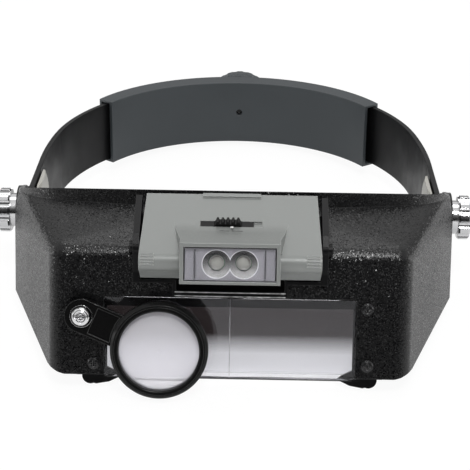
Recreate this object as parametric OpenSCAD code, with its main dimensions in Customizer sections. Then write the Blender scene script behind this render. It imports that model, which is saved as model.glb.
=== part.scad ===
// Lighted headband magnifier in millimetres, as it rests on a flat top: the two tabs of the
// flip lens and the rear knob touch it. The front faces -Y and +Z is up. The band is drawn in a frame whose
// origin is the middle of the pivot axis; the visor is drawn in another one on that axis.

/* [Stance] */
// Angle by which the band falls to the rear when the piece stands on a table
band_drop = 5.89; // [0:0.01:12]
// Angle of the visor above the band at rest
visor_lift = 13.9; // [4:0.1:20]
// Height of the pivot axis above the table
pivot_height = 31.68; // [20:0.01:60]
// Distance from the middle of the footprint to the pivot axis
pivot_shift = 28.8; // [-60:0.05:60]

/* [Headband] */
// How far the band's sides stand out beyond its rear arc
side_out = 7.7; // [6:0.1:9]
// Height of the band
band_height = 28; // [22:0.5:28]
// Thickness of the band strip
band_t = 2.1; // [1.6:0.1:2.1]
// Front of the band in front of the pivots
band_front = 52; // [50:0.5:52]
// Corner radius of the band at the temples
temple_r = 34; // [32:0.5:35]
// Where the flat side ends in front of the pivot
flat_front = 8; // [8:0.5:10]
// Where the flat side ends behind the pivot
flat_rear = 24; // [22:0.5:26]
// Radius of the bowed side behind the ear
side_r = 238; // [220:1:260]
// Radius of the shoulder between the side and the rear block
shoulder_r = 101.5; // [100:0.5:106]
// Thickness of the forehead foam
pad_t = 5; // [3:0.5:8]
// Height of the forehead foam
pad_height = 24; // [16:0.5:26]

/* [Rear adjuster] */
// Inner radius of the adjuster block, which lies against the head
block_r = 70.4; // [70:0.1:71]
// Middle of that radius behind the pivots
block_y = 63.4; // [60:0.2:66]
// How far in front of that middle the planes of the block's ends meet
block_apex = 11.4; // [9:0.1:14]
// Half angle that the block covers
block_half_angle = 51.7; // [46:0.1:55]
// Height of the block
block_height = 30.5; // [30.5:0.1:34]
// Thickness of the block at its middle
block_t = 10.6; // [10.6:0.1:13]
// Wall of the two block covers
block_wall = 1.7; // [1.4:0.05:1.7]
// Radius of the adjusting knob
knob_r = 16.3; // [12:0.1:17]
// Thickness of the adjusting knob
knob_t = 8; // [5:0.2:10]
// Finger flutes round the knob
knob_flutes = 20; // [12:1:28]
// Tooth pitch of the racks and of the pinion
rack_pitch = 2.2; // [2.2:0.05:2.4]

/* [Pivots] */
// Diameter of the pivot bolts
bolt_d = 5.9; // [4.5:0.1:6.2]
// Thickness of the friction washers
washer_t = 2; // [2:0.05:2.2]
// Outer radius of the lobed thumb nuts
nut_r = 9.25; // [8:0.05:10]
// Thickness of the lobed part of the thumb nuts
nut_t = 4.8; // [3:0.1:6]
// Collar length behind the lobed part
collar_t = 3; // [1.2:0.1:3.4]
// Lobes round each thumb nut
nut_lobes = 10; // [8:1:14]
// Radius of the light cap on the inner end of each bolt
cap_r = 16.5; // [14:0.1:17]
// How far the cap's middle lies behind the bolt
cap_back = 3; // [2.5:0.1:5]

/* [Visor] */
// Front plate in front of the pivot axis
plate_y = 73.6; // [73:0.2:75]
// Width of the front plate's corner beside the window
plate_side = 19.5; // [17:0.5:20.5]
// Thickness of the ears at the pivots
ear_wall = 3.1; // [2.8:0.1:4]
// Height of the plate's top bend below the axis
bend_drop = 4; // [3.4:0.2:4.4]
// Height of the deck's rear edge above the axis
deck_top = 10.2; // [9.8:0.1:10.6]
// Wall of the visor shell
shell_t = 2; // [1.6:0.1:2]
// Radius of the bends of the shell
bend_r = 7; // [6:0.2:8]
// Gap between the band and the brow wall
brow_gap = 2; // [2:0.1:2.2]
// Height of the brow wall's top above the axis at the ears
brow_rise = 9.5; // [9.2:0.1:11]
// Lift of the brow wall's top for each millimetre forwards
brow_slope = 0.13; // [0.08:0.01:0.16]
// Radius of the ears round the pivot
ear_r = 10.5; // [10.2:0.1:11.5]

/* [Lenses] */
// Width of the window
window_w = 95; // [80:0.5:95]
// Top of the window below the axis
window_top = 21.5; // [21:0.1:23]
// Radius of the magnifying face
lens_curve = 180; // [175:5:400]
// Diameter of the loupe's rim
loupe_d = 36.8; // [34:0.1:38]
// Clear diameter of the loupe
loupe_clear = 30.2; // [26:0.1:31]
// Sideways place of the loupe's middle
loupe_x = -26.2; // [-27:0.1:-24]
// Drop of the loupe's middle below the axis
loupe_z = 40.8; // [40:0.1:43]

/* [Lamp] */
// Slope of the lamp's top
lamp_slope = 40.4; // [39.8:0.1:41]
// Half width of the lamp at its front
lamp_half = 33.7; // [32.9:0.1:33.7]
// How far each side of the lamp is drawn in towards the rear
lamp_taper = 1.6; // [0.8:0.1:2.6]
// Half width of the light box
hood_half = 18.4; // [17.6:0.1:18.4]
// Wall of the lamp housing
lamp_wall = 1.4; // [1.2:0.05:1.4]
// Diameter of a cell
cell_d = 10.5; // [10:0.1:10.5]
// Length of a cell
cell_l = 44.5; // [40:0.5:44.5]
// Grip ribs at each front corner of the lamp
grip_ribs = 5; // [3:1:6]
// Ridges on the switch
switch_ridges = 5; // [3:1:6]

/* [Hidden] */
$fn = 64;

black = [0.1, 0.1, 0.11];
slate = [0.25, 0.27, 0.29];
grey = [0.58, 0.59, 0.58];
light = [0.8, 0.79, 0.76];
chrome = [0.82, 0.83, 0.85];
clear = [0.82, 0.84, 0.88, 0.6];
dark = [0.15, 0.15, 0.16];

// Gap of a running fit, of a sliding fit and of two pieces that pass each other
fit = 0.08;
slip = 0.25;
pass = 0.3;

module place_band() {
  translate([0, -pivot_shift, pivot_height]) rotate([-band_drop, 0, 0]) children();
}
module place_visor() {
  translate([0, -pivot_shift, pivot_height]) rotate([-band_drop - visor_lift, 0, 0]) children();
}
// Turns a shape drawn in the plane of Y and Z into a bar along X
module bar_x(w) {
  rotate([90, 0, 90]) translate([0, 0, -w / 2]) linear_extrude(w) children();
}
module bar_x_from(x0, x1) {
  rotate([90, 0, 90]) translate([0, 0, x0]) linear_extrude(x1 - x0) children();
}
// Cylinder along X from x0 to x1 at y, z
module rod_x(x0, x1, y, z, r) {
  translate([x0, y, z]) rotate([0, 90, 0]) cylinder(h = x1 - x0, r = r);
}
// Cylinder along Y from y0 to y1 at x, z
module rod_y(y0, y1, x, z, r) {
  translate([x, y0, z]) rotate([-90, 0, 0]) cylinder(h = y1 - y0, r = r);
}
// Ring sector round c, from angle a1 to a2 measured from +X
module sector(c, ro, ri, a1, a2) {
  big = 1.5 * ro;
  translate(c) intersection() {
    difference() {
      circle(ro, $fn = 180);
      circle(ri, $fn = 180);
    }
    polygon([[0, 0], big * [cos(a1), sin(a1)],
      big * [cos((2 * a1 + a2) / 3), sin((2 * a1 + a2) / 3)],
      big * [cos((a1 + 2 * a2) / 3), sin((a1 + 2 * a2) / 3)], big * [cos(a2), sin(a2)]]);
  }
}

// Arcs of the band's outer face: front, temple, side, shoulder, then the rear arc. The racks
// lie in two tracks, and each shoulder's middle is set so that it touches both its neighbours
track_l = block_r + block_wall + slip + band_t;
track_r = track_l + slip + band_t;
band_half = track_r + side_out;
rear_c = [0, block_y];
temple_c = [band_half - temple_r, -flat_front];
front_m = band_front - flat_front - temple_r;
front_k = (temple_c[0] * temple_c[0] - front_m * front_m) / (2 * front_m);
front_c = [0, front_k - flat_front];
front_r = front_c[1] + band_front;
front_a = atan2(temple_c[0], front_k);
side_c = [band_half - side_r, flat_rear];
function shoulder_c(rr) = let (v = rear_c - side_c, a = side_r - shoulder_r,
    b = shoulder_r - rr, u = (v * v + a * a - b * b) / (2 * norm(v)))
  side_c + (u * v + sqrt(a * a - u * u) * [v[1], -v[0]]) / norm(v);
function side_a(rr) = let (v = shoulder_c(rr) - side_c) atan2(v[1], v[0]);
function shoulder_a(rr) = let (v = rear_c - shoulder_c(rr)) atan2(v[1], v[0]);
rack_end = 36;
// Degrees times radius by which an arc runs on into the next one, so that they join
lap = 6;
// Every second arc is thicker by this on both faces, so that no two faces nearly coincide
ease = 0.04;

// Plan of one half of the band on the +X side, whose rear arc has the outer radius rr
module strap_half(rr, t) {
  sector(front_c, front_r, front_r - t, -90 - lap / front_r, -90 + front_a + lap / front_r);
  sector(temple_c, temple_r + ease, temple_r - t - ease, -90 + front_a, 0);
  translate([band_half - t, -flat_front - 0.1]) square([t, flat_front + flat_rear + 0.2]);
  sector(side_c, side_r + ease, side_r - t - ease, 0, side_a(rr));
  sector(shoulder_c(rr), shoulder_r, shoulder_r - t, side_a(rr) - lap / shoulder_r,
    shoulder_a(rr) + lap / shoulder_r);
  sector(rear_c, rr + ease, rr - t - ease, shoulder_a(rr), 90 + rack_end);
}
// Closed region in front, inside the band's outer face moved outwards by d
function brow_pts(d, y1) = let (n = 14)
  concat([for (i = [0:n]) let (a = -90 - front_a + i * 2 * front_a / n)
      front_c + (front_r + d) * [cos(a), sin(a)]],
    [for (i = [1:n]) let (a = -90 + front_a + i * (90 - front_a) / n)
      temple_c + (temple_r + d) * [cos(a), sin(a)]],
    [[band_half + d, y1], [-band_half - d, y1]],
    [for (i = [0:n - 1]) let (a = 180 + i * (90 - front_a) / n)
      [-temple_c[0], temple_c[1]] + (temple_r + d) * [cos(a), sin(a)]]);

// Headband: two racks that lap inside the rear block, each with teeth on one edge of its slot
tooth_h = 1.3;
rack_tip = 3.7;
slot_h = 4.2;
slot_a = 27;
// Toothed slot through one end of the band; up is 1 or -1
module rack_slot(rr, up) {
  step = rack_pitch / (rr - band_t / 2) * 180 / PI;
  translate([0, block_y, 0]) {
    translate([0, 0, up > 0 ? -slot_h : -rack_tip]) linear_extrude(slot_h + rack_tip)
      sector([0, 0], rr + 1, rr - band_t - 1, 90 - slot_a, 90 + slot_a);
    for (i = [-floor((slot_a - 1) / step) : floor((slot_a - 1) / step)])
      rotate([0, 0, i * step]) translate([0, rr + 1, up * rack_tip]) rotate([90, 0, 0])
        linear_extrude(band_t + 2) polygon([[-rack_pitch * 0.36, -up * 0.1],
          [rack_pitch * 0.36, -up * 0.1], [rack_pitch * 0.18, up * tooth_h],
          [-rack_pitch * 0.18, up * tooth_h]]);
  }
}
module strap_side(rr, up) {
  difference() {
    translate([0, 0, -band_height / 2]) linear_extrude(band_height) strap_half(rr, band_t);
    rod_x(band_half - 5, band_half + 5, 0, 0, bolt_d / 2 + fit);
    rack_slot(rr, up);
  }
}
module headband_strap() {
  color(black) place_band() union() {
    strap_side(track_r, -1);
    mirror([1, 0, 0]) strap_side(track_l, 1);
  }
}
// Crowned foam along the inner face of the band's front
module pad_profile(r, cut) {
  translate([r - pad_t + cut, 0]) intersection() {
    translate([0, cut - pad_height / 2]) square([pad_t - 2 * cut, pad_height - 2 * cut]);
    translate([crown_r, 0]) circle(crown_r, $fn = 120);
  }
}
crown = 1.6;
crown_r = (pad_height * pad_height / 4 + crown * crown) / (2 * crown);
pad_a = 46;
pad_gap = 0.15;
// The pad is drawn in by this much where its ends bend round the temples
pad_step = 0.35;
module pad_arc(c, r, a1, a2, cut) {
  translate([c[0], c[1], 0]) rotate([0, 0, a1])
    rotate_extrude(angle = a2 - a1, $fn = 180) pad_profile(r - pad_gap, cut);
}
module forehead_pad() {
  color(dark) place_band() union() {
    pad_arc(front_c, front_r - band_t, -90 - front_a, -90 + front_a, 0);
    for (m = [0, 1]) mirror([m, 0, 0])
      pad_arc(temple_c, temple_r - band_t, -92 + front_a, -90 + pad_a, pad_step);
  }
}

// Rear adjuster: two covers, a pinion between the racks and a knob outside
block_out = block_y + block_r + block_t;
shell_c = 5;
outer_r = block_out - block_y - shell_c;
cavity_r = track_r + slip + 0.2;
shaft_r = 2.5;
pinion_tip = rack_tip - 0.15;
pinion_root = pinion_tip - 1.2;
pinion_teeth = 10;
pinion_y0 = block_y + track_l - band_t - 0.05;
pinion_y1 = block_y + track_r + 0.1;
block_seam = block_r + block_wall;
module block_wedge(h) {
  apex = [0, block_y - block_apex];
  far = 3 * block_r;
  linear_extrude(h) polygon([apex, apex + far * [sin(block_half_angle), cos(block_half_angle)],
    [0, 2 * far], apex + far * [-sin(block_half_angle), cos(block_half_angle)]]);
}
module adjuster_inner_cover() {
  color(slate) place_band() translate([0, 0, -block_height / 2]) difference() {
    intersection() {
      linear_extrude(block_height) translate(rear_c) difference() {
        circle(block_seam, $fn = 180);
        circle(block_r, $fn = 180);
      }
      block_wedge(block_height);
    }
    rod_y(block_y + block_r - 1, block_y + block_seam + 1, 0, block_height / 2, 1.5);
  }
}
module adjuster_outer_cover() {
  color(slate) place_band() difference() {
    translate([0, 0, -block_height / 2]) intersection() {
      linear_extrude(block_height) difference() {
        translate([0, block_y + shell_c]) circle(outer_r, $fn = 180);
        translate(rear_c) circle(block_seam, $fn = 180);
      }
      block_wedge(block_height);
    }
    translate([0, 0, -band_height / 2 - slip]) linear_extrude(band_height + 2 * slip)
      translate(rear_c) circle(cavity_r, $fn = 180);
    rod_y(block_out - 10, block_out + 5, 0, 0, shaft_r + fit);
  }
}
knob_y = block_out + 0.5;
module adjuster_pinion() {
  color(black) place_band() difference() {
    union() {
      rod_y(pinion_y0, pinion_y1, 0, 0, pinion_root);
      for (i = [0 : pinion_teeth - 1]) rotate([0, i * 360 / pinion_teeth, 0])
        translate([0, pinion_y1, 0]) rotate([90, 0, 0]) linear_extrude(pinion_y1 - pinion_y0)
          polygon([[-0.75, pinion_root - 0.5], [0.75, pinion_root - 0.5],
            [0.35, pinion_tip], [-0.35, pinion_tip]]);
      rod_y(pinion_y1, knob_y, 0, 0, shaft_r);
    }
    rod_y(pinion_y0 - 1, knob_y + 1, 0, 0, 1.05);
    rod_y(pinion_y0 - 1, pinion_y0 + 0.8, 0, 0, 1.75);
  }
}
module adjuster_knob() {
  color(slate) place_band() translate([0, knob_y, 0]) rotate([-90, 0, 0]) difference() {
    rotate_extrude() polygon([[0, 0], [knob_r - 1, 0], [knob_r, 1], [knob_r, knob_t - 2.2],
      [knob_r - 0.6, knob_t - 0.9], [knob_r - 2, knob_t], [knob_r - 5, knob_t],
      [knob_r - 6, knob_t - 0.8], [0, knob_t - 0.8]]);
    for (i = [0 : knob_flutes - 1]) rotate([0, 0, (i + 0.5) * 360 / knob_flutes])
      translate([knob_r + 1.1, 0, -1]) cylinder(h = knob_t + 2, r = 1.7, $fn = 24);
    translate([0, 0, -1]) cylinder(h = 5, r = 1);
  }
}
module knob_washer() {
  color(chrome) place_band() difference() {
    rod_y(block_out, knob_y, 0, 0, 6);
    rod_y(block_out - 1, knob_y + 1, 0, 0, shaft_r + fit);
  }
}
module knob_screw() {
  color(chrome) place_band() union() {
    difference() {
      rod_y(pinion_y0 + 0.05, pinion_y0 + 0.8, 0, 0, 1.65);
      for (a = [0, 90]) translate([0, pinion_y0, 0]) rotate([0, a, 0])
        translate([-1, -0.1, -0.22]) cube([2, 0.6, 0.44]);
    }
    rod_y(pinion_y0 + 0.7, knob_y + 0.1, 0, 0, 1.0);
    rod_y(knob_y, knob_y + 3.8, 0, 0, 0.95);
  }
}

// Pivots, drawn on the +X side
band_in = band_half - band_t;
ear_in = band_half + washer_t;
ear_half = ear_in + ear_wall;
ring_proud = 0.9;
ear_face = ear_half + ring_proud;
head_t = 1.1;
head_r = 5.6;
nut_face = ear_face + collar_t + nut_t;
module pivot_bolt() {
  rod_x(band_in - head_t, band_in, 0, 0, head_r);
  rod_x(band_in, nut_face - 1.2, 0, 0, bolt_d / 2);
}
module pivot_bolts() {
  color(chrome) place_band() for (m = [0, 1]) mirror([m, 0, 0]) union() pivot_bolt();
}
module pivot_caps() {
  h = band_height - 1.2;
  color(light) place_band() for (m = [0, 1]) mirror([m, 0, 0]) difference() {
    union() {
      intersection() {
        translate([band_in - head_t - 1, cap_back, 0]) rotate([0, 90, 0])
          rotate_extrude() polygon([[0, -0.6], [cap_r - 2.5, -0.3], [cap_r, 0.5],
            [cap_r, 1.3], [0, 1.3]]);
        translate([band_in - 10, -50, -h / 2]) cube([12, 100, h]);
      }
      rod_x(band_in - head_t - 0.6, band_in, 0, 0, flat_front - 0.4);
    }
    rod_x(band_in - head_t, band_in + 1, 0, 0, head_r + fit / 4);
  }
}
module friction_washers() {
  color(light) place_band() for (m = [0, 1]) mirror([m, 0, 0]) difference() {
    rod_x(band_half, ear_in, 0, 0, flat_front - 0.1);
    rod_x(band_half - 1, ear_in + 1, 0, 0, bolt_d / 2 + fit);
  }
}
module thumb_nut() {
  bore = nut_face - ear_face - 1;
  translate([ear_face, 0, 0]) rotate([0, 90, 0]) difference() {
    union() {
      cylinder(h = collar_t, r = 7);
      difference() {
        translate([0, 0, collar_t]) rotate_extrude() polygon([[0, 0], [nut_r - 0.6, 0],
          [nut_r, 0.6], [nut_r, nut_t - 0.6], [nut_r - 0.6, nut_t], [0, nut_t]]);
        for (i = [0 : nut_lobes - 1]) rotate([0, 0, (i + 0.5) * 360 / nut_lobes])
          translate([nut_r + 0.7, 0, collar_t - 1]) cylinder(h = nut_t + 2, r = 1.8, $fn = 32);
        translate([0, 0, collar_t + nut_t - 0.5]) cylinder(h = 2, r = nut_r - 4.2);
      }
    }
    translate([0, 0, -1]) cylinder(h = bore + 1, r = bolt_d / 2 + fit);
  }
}
module thumb_nut_left() {
  color(chrome) place_band() mirror([1, 0, 0]) thumb_nut();
}
module thumb_nut_right() {
  color(chrome) place_band() thumb_nut();
}

// Visor shell: a moulded hood of front plate, two wings and a deck, with a brow wall behind
win_half = window_w / 2;
plate_half = win_half + plate_side;
wing = [ear_half - plate_half, plate_y - 16];
wing_l = norm(wing);
wing_n = [wing[1], -wing[0]] / wing_l;
// Flat ledge left in front of the brow wall
brow_ledge = 0.5;
deck_back = band_front + brow_gap + shell_t + brow_ledge;
deck_run = plate_y - deck_back;
deck_l = norm([deck_run, deck_top + bend_drop]);
deck_n = [-(deck_top + bend_drop), deck_run] / deck_l;
corner_x = plate_half - bend_r * (1 + wing_n[1]) / wing_n[0];
corner_z = -bend_drop - bend_r * (1 + deck_n[0]) / deck_n[1];
ear_bend = 4;
ear_z = 1;
ear_s = [-7, -21.5];
ear_sr = 5;
low_slope = 0.375;
ear_face_low = 52.9;
// Convex body of the shell, drawn smaller by g on all sides
module shell_body(g, back) {
  hull() {
    for (s = [-1, 1]) {
      translate([s * corner_x, bend_r - plate_y, corner_z]) sphere(bend_r - g, $fn = 48);
      translate([s * corner_x, bend_r - plate_y, -75]) cylinder(h = 5, r = bend_r - g, $fn = 48);
      translate([s * (ear_half - ear_bend), -16.8, ear_z]) sphere(ear_bend - g, $fn = 24);
      translate([s * (ear_half - ear_bend), -16.8, -75])
        cylinder(h = 5, r = ear_bend - g, $fn = 24);
    }
    translate([g - ear_half, -15, -75]) cube([2 * (ear_half - g), 15 + back, 75 + ear_z]);
    translate([0, 0, ear_z]) linear_extrude(deck_top - g - ear_z)
      polygon(brow_pts(brow_gap + shell_t + brow_ledge - g, back));
  }
}
function tangent_n(v, r1, r2) = let (l = norm(v), c = (r1 - r2) / l, s = sqrt(1 - c * c))
  [v[0] * c - v[1] * s, v[0] * s + v[1] * c] / l;
low_n = [low_slope, -1] / norm([low_slope, 1]);
// Side view that the shell is cut to, in Y and Z
module side_profile() {
  n1 = tangent_n(ear_s, ear_r, ear_sr);
  t3 = ear_s + ear_sr * low_n;
  circle(ear_r);
  translate(ear_s) circle(ear_sr);
  polygon([[-120, 60], [0, 60], [0, 0], ear_r * n1, ear_s + ear_sr * n1, ear_s, t3,
    t3 + [-120, -120 * low_slope]]);
}
// Front view that rounds the plate's lower corners up into the wings
module front_trim() {
  low = -ear_face_low;
  rotate([90, 0, 0]) translate([0, 0, -30]) linear_extrude(120)
    polygon([[-plate_half - 33, 60], [plate_half + 33, 60], [plate_half + 33, low - 10],
      [plate_half + 5, low + 4.3], [plate_half + 2, low + 3.5], [plate_half - 2, low + 1.7],
      [plate_half - 7, low + 0.5], [plate_half - 13, low], [13 - plate_half, low],
      [7 - plate_half, low + 0.5], [2 - plate_half, low + 1.7], [-plate_half - 2, low + 3.5],
      [-plate_half - 5, low + 4.3], [-plate_half - 33, low - 10]]);
}
well_half = lamp_half + 2.7;
hood_well = hood_half + 3.2;
well_z = -15.6;
hood_z = -20.6;
well_back = -deck_back - 2;
module visor_shell() {
  color(black) place_visor() difference() {
    union() {
      intersection() {
        difference() {
          shell_body(0, 14);
          shell_body(shell_t, 16);
          translate([0, 0, -1]) linear_extrude(30)
            polygon(brow_pts(brow_gap + shell_t / 2, 30));
        }
        bar_x(240) side_profile();
        front_trim();
      }
      brow_wall();
      rod_y(-plate_y - loupe_boss, -plate_y + 1, loupe_pivot[0], loupe_pivot[1], 4.4);
      for (m = [0, 1]) mirror([m, 0, 0]) {
        rod_x(ear_in, ear_half - shell_t / 2, 0, 0, ear_r - 0.5);
        rod_x(ear_half - 1, ear_face, 0, 0, ear_r - 0.25);
        flip_lug();
      }
    }
    for (s = [-1, 1]) rod_x(s * ear_half - 8, s * ear_half + 8, 0, 0, bolt_d / 2 + fit);
    translate([-win_half, -plate_y - 3, -80]) cube([window_w, 6, 80 - window_top]);
    translate([-well_half, -plate_y - 8, well_z])
      cube([2 * well_half, plate_y + 8 + well_back, 60]);
    translate([-hood_well, -plate_y - 8, hood_z]) cube([2 * hood_well, 12, 60]);
    for (p = screw_at) rod_y(-plate_y - 3, -plate_y + 4, p[0], p[1], screw_r + slip / 2);
    rod_y(-plate_y - 4, -plate_y + 4, loupe_pivot[0], loupe_pivot[1], loupe_bolt + fit);
    for (s = [-1, 1]) rod_x(s * (flip_half + 1.9) - 4, s * (flip_half + 1.9) + 4,
      flip_y, flip_z, pin_r + fit);
    for (m = [0, 1]) mirror([m, 0, 0]) rod_x(well_half - 1, well_half + 1.4 + pass,
      lamp_axis[0], lamp_axis[1], 2.4 + pass);
  }
}
module brow_wall() {
  intersection() {
    translate([0, 0, deck_top - shell_t - 0.7]) linear_extrude(30) {
      for (m = [0, 1]) mirror([m, 0]) {
        sector(front_c, front_r + brow_gap + shell_t, front_r + brow_gap,
          -90 - lap / front_r, -90 + front_a + lap / front_r);
        sector(temple_c, temple_r + brow_gap + shell_t + ease, temple_r + brow_gap - ease,
          -90 + front_a, 0);
        translate([band_half + brow_gap, -flat_front - 0.1]) square([shell_t, flat_front + 0.1]);
      }
    }
    bar_x(240) polygon([[0, 0], [-80, 0], [-80, brow_rise + 80 * brow_slope], [0, brow_rise]]);
  }
}

// Main lens behind the plate, with a raised front panel and two magnifying faces behind
lens_seat = shell_t - plate_y;
flange_t = 1.6;
panel_half = win_half - slip;
// Half width of the groove between the two magnifying faces
seam = 0.2;
flange_half = win_half + 10.5;
lens_bottom = -52.4;
panel_top = -window_top - slip;
screw_r = 1.2;
screw_at = [[win_half + 4, -24.8], [win_half + 4.5, -46.7], [-win_half - 3.7, -47.3]];
loupe_pivot = [-win_half - 8, -28.5];
loupe_boss = 1.6;
loupe_bolt = 1.9;
pin_r = 1;
flip_y = -66.5;
flip_z = -18.5;
// Magnifying face towards +Y, standing on y, over x0 to x1 and z0 to z1
module lens_face(x0, x1, z0, z1, y, r) {
  a = (x1 - x0) / 2;
  b = (z1 - z0) / 2;
  sag = (a * a + b * b) / (2 * r);
  intersection() {
    translate([x0, y - 0.4, z0]) cube([x1 - x0, 20, z1 - z0]);
    translate([x0 + a, y, z0 + b]) rotate([-90, 0, 0]) rotate_extrude($fn = 120)
      intersection() {
        translate([0, sag - r]) circle(r, $fn = 720);
        translate([0, -0.4]) square([norm([a, b]) + 1, sag + 2]);
      }
  }
}
module main_lens() {
  color(clear) place_visor() difference() {
    union() {
      difference() {
        translate([-flange_half, lens_seat, lens_bottom])
          cube([2 * flange_half, flange_t, -19.6 - lens_bottom]);
        translate([-hood_well - 1, lens_seat - 1, hood_z - slip])
          cube([2 * hood_well + 2, flange_t + 2, 5]);
      }
      translate([-panel_half, 0.4 - plate_y, lens_bottom])
        cube([2 * panel_half, shell_t, panel_top - lens_bottom]);
      for (m = [0, 1]) mirror([m, 0, 0])
        lens_face(seam, panel_half, lens_bottom, panel_top, lens_seat + flange_t, lens_curve);
    }
    for (p = screw_at) rod_y(-plate_y, -plate_y + 6, p[0], p[1], screw_r + slip / 2);
    rod_y(-plate_y, -plate_y + 6, loupe_pivot[0], loupe_pivot[1], loupe_bolt + fit);
  }
}
nut_y = lens_seat + flange_t;
module cross_recess(y, x, z, w, d) {
  for (a = [0, 90]) translate([x, y, z]) rotate([0, a, 0])
    translate([-w / 2, -0.1, -w / 9]) cube([w, d + 0.1, w / 4.5]);
}
module lens_screws() {
  color(dark) place_visor() for (p = screw_at) difference() {
    union() {
      translate([p[0], -plate_y, p[1]]) rotate([90, 0, 0]) rotate_extrude()
        polygon([[0, 0], [2.4, 0], [2.4, 0.6], [1.9, 1.1], [1.2, 1.3], [0, 1.3]]);
      rod_y(-plate_y, nut_y + 1.8, p[0], p[1], screw_r);
    }
    cross_recess(-plate_y - 1.3, p[0], p[1], 2.6, 0.7);
  }
}
module lens_nuts() {
  color(chrome) place_visor() for (p = screw_at) difference() {
    translate([p[0], nut_y, p[1]]) rotate([-90, 0, 0]) cylinder(h = 1.5, r = 2.4, $fn = 6);
    rod_y(nut_y - 1, nut_y + 3, p[0], p[1], screw_r);
  }
}

// Loupe on its arm, swinging about its screw
arm_y = -plate_y - loupe_boss;
arm_t = 2.4;
arm_r = 6.4;
rim_depth = 5.3;
lip_t = 1.6;
lens_r = loupe_clear / 2 + 1.1;
loupe_v = [loupe_x - loupe_pivot[0], -loupe_z - loupe_pivot[1]];
loupe_l = norm(loupe_v);
module at_loupe() {
  translate([loupe_x, arm_y, -loupe_z]) rotate([90, 0, 0]) children();
}
module loupe_arm() {
  color(black) place_visor() difference() {
    union() {
      at_loupe() rotate_extrude($fn = 120) polygon([[loupe_clear / 2, 0],
        [loupe_d / 2 - 0.8, 0], [loupe_d / 2, 0.8], [loupe_d / 2, rim_depth - 1],
        [loupe_d / 2 - 1, rim_depth], [lens_r + slip / 2, rim_depth],
        [lens_r + slip / 2, lip_t], [loupe_clear / 2, lip_t]]);
      translate([loupe_pivot[0], arm_y, loupe_pivot[1]]) rotate([90, 0, 0])
        linear_extrude(arm_t) difference() {
          union() {
            circle(arm_r);
            rotate([0, 0, atan2(loupe_v[1], loupe_v[0])]) translate([0, 0.1 - arm_r])
              square([loupe_l, 2 * arm_r - 0.2]);
          }
          translate(loupe_v) circle(loupe_d / 2 - 1, $fn = 120);
        }
    }
    rod_y(arm_y - arm_t - 1, arm_y + 1, loupe_pivot[0], loupe_pivot[1], loupe_bolt + fit);
    translate([loupe_pivot[0], arm_y - arm_t - 1, loupe_pivot[1]]) rotate([90, 0, 0])
      translate([0, 0, -1.6]) linear_extrude(2) arm_field();
  }
}
// Sunk field that leaves a raised edge along the arm
module arm_field() {
  difference() {
    rotate([0, 0, atan2(loupe_v[1], loupe_v[0])]) translate([4.6, 1.2 - arm_r])
      square([loupe_l, 2 * arm_r - 2.4]);
    translate(loupe_v) circle(loupe_d / 2 + 0.6, $fn = 120);
    circle(4.6);
  }
}
module loupe_lens() {
  r = 70;
  e = 1.6;
  c = loupe_clear / 2 - 0.1;
  sag = c * c / (2 * r);
  color(clear) place_visor() at_loupe() union() {
    translate([0, 0, lip_t]) cylinder(h = e, r = lens_r, $fn = 120);
    intersection() {
      translate([0, 0, lip_t - sag - 1]) cylinder(h = e + 2 * sag + 2, r = c, $fn = 120);
      translate([0, 0, lip_t - sag + r]) sphere(r, $fn = 160);
      translate([0, 0, lip_t + e + sag - r]) sphere(r, $fn = 160);
    }
  }
}
module loupe_retainer() {
  top = rim_depth + 0.8;
  color(black) place_visor() at_loupe() rotate_extrude($fn = 120)
    polygon([[loupe_clear / 2, lip_t + 1.7], [lens_r, lip_t + 1.7], [lens_r, rim_depth],
      [loupe_d / 2 - 1.3, rim_depth], [loupe_d / 2 - 1.6, top], [loupe_clear / 2 + 0.4, top],
      [loupe_clear / 2, top - 0.4]]);
}
washer_y = arm_y - arm_t;
module loupe_washer() {
  color(chrome) place_visor() difference() {
    rod_y(washer_y - 0.7, washer_y, loupe_pivot[0], loupe_pivot[1], 4.25);
    rod_y(washer_y - 1, washer_y + 1, loupe_pivot[0], loupe_pivot[1], loupe_bolt + fit);
  }
}
module loupe_screw() {
  head_y = washer_y - 0.7;
  color(chrome) place_visor() difference() {
    union() {
      translate([loupe_pivot[0], head_y, loupe_pivot[1]]) rotate([90, 0, 0]) rotate_extrude()
        polygon([[0, 0], [3.7, 0], [3.7, 0.6], [3.2, 1.4], [2, 2], [0, 2.2]]);
      rod_y(head_y, nut_y + 2, loupe_pivot[0], loupe_pivot[1], loupe_bolt);
    }
    cross_recess(head_y - 2.2, loupe_pivot[0], loupe_pivot[1], 4, 1.2);
  }
}
module loupe_nut() {
  color(chrome) place_visor() difference() {
    translate([loupe_pivot[0], nut_y, loupe_pivot[1]]) rotate([-90, 0, 0])
      cylinder(h = 1.7, r = 3.5, $fn = 6);
    rod_y(nut_y - 1, nut_y + 3, loupe_pivot[0], loupe_pivot[1], loupe_bolt);
  }
}

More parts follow.
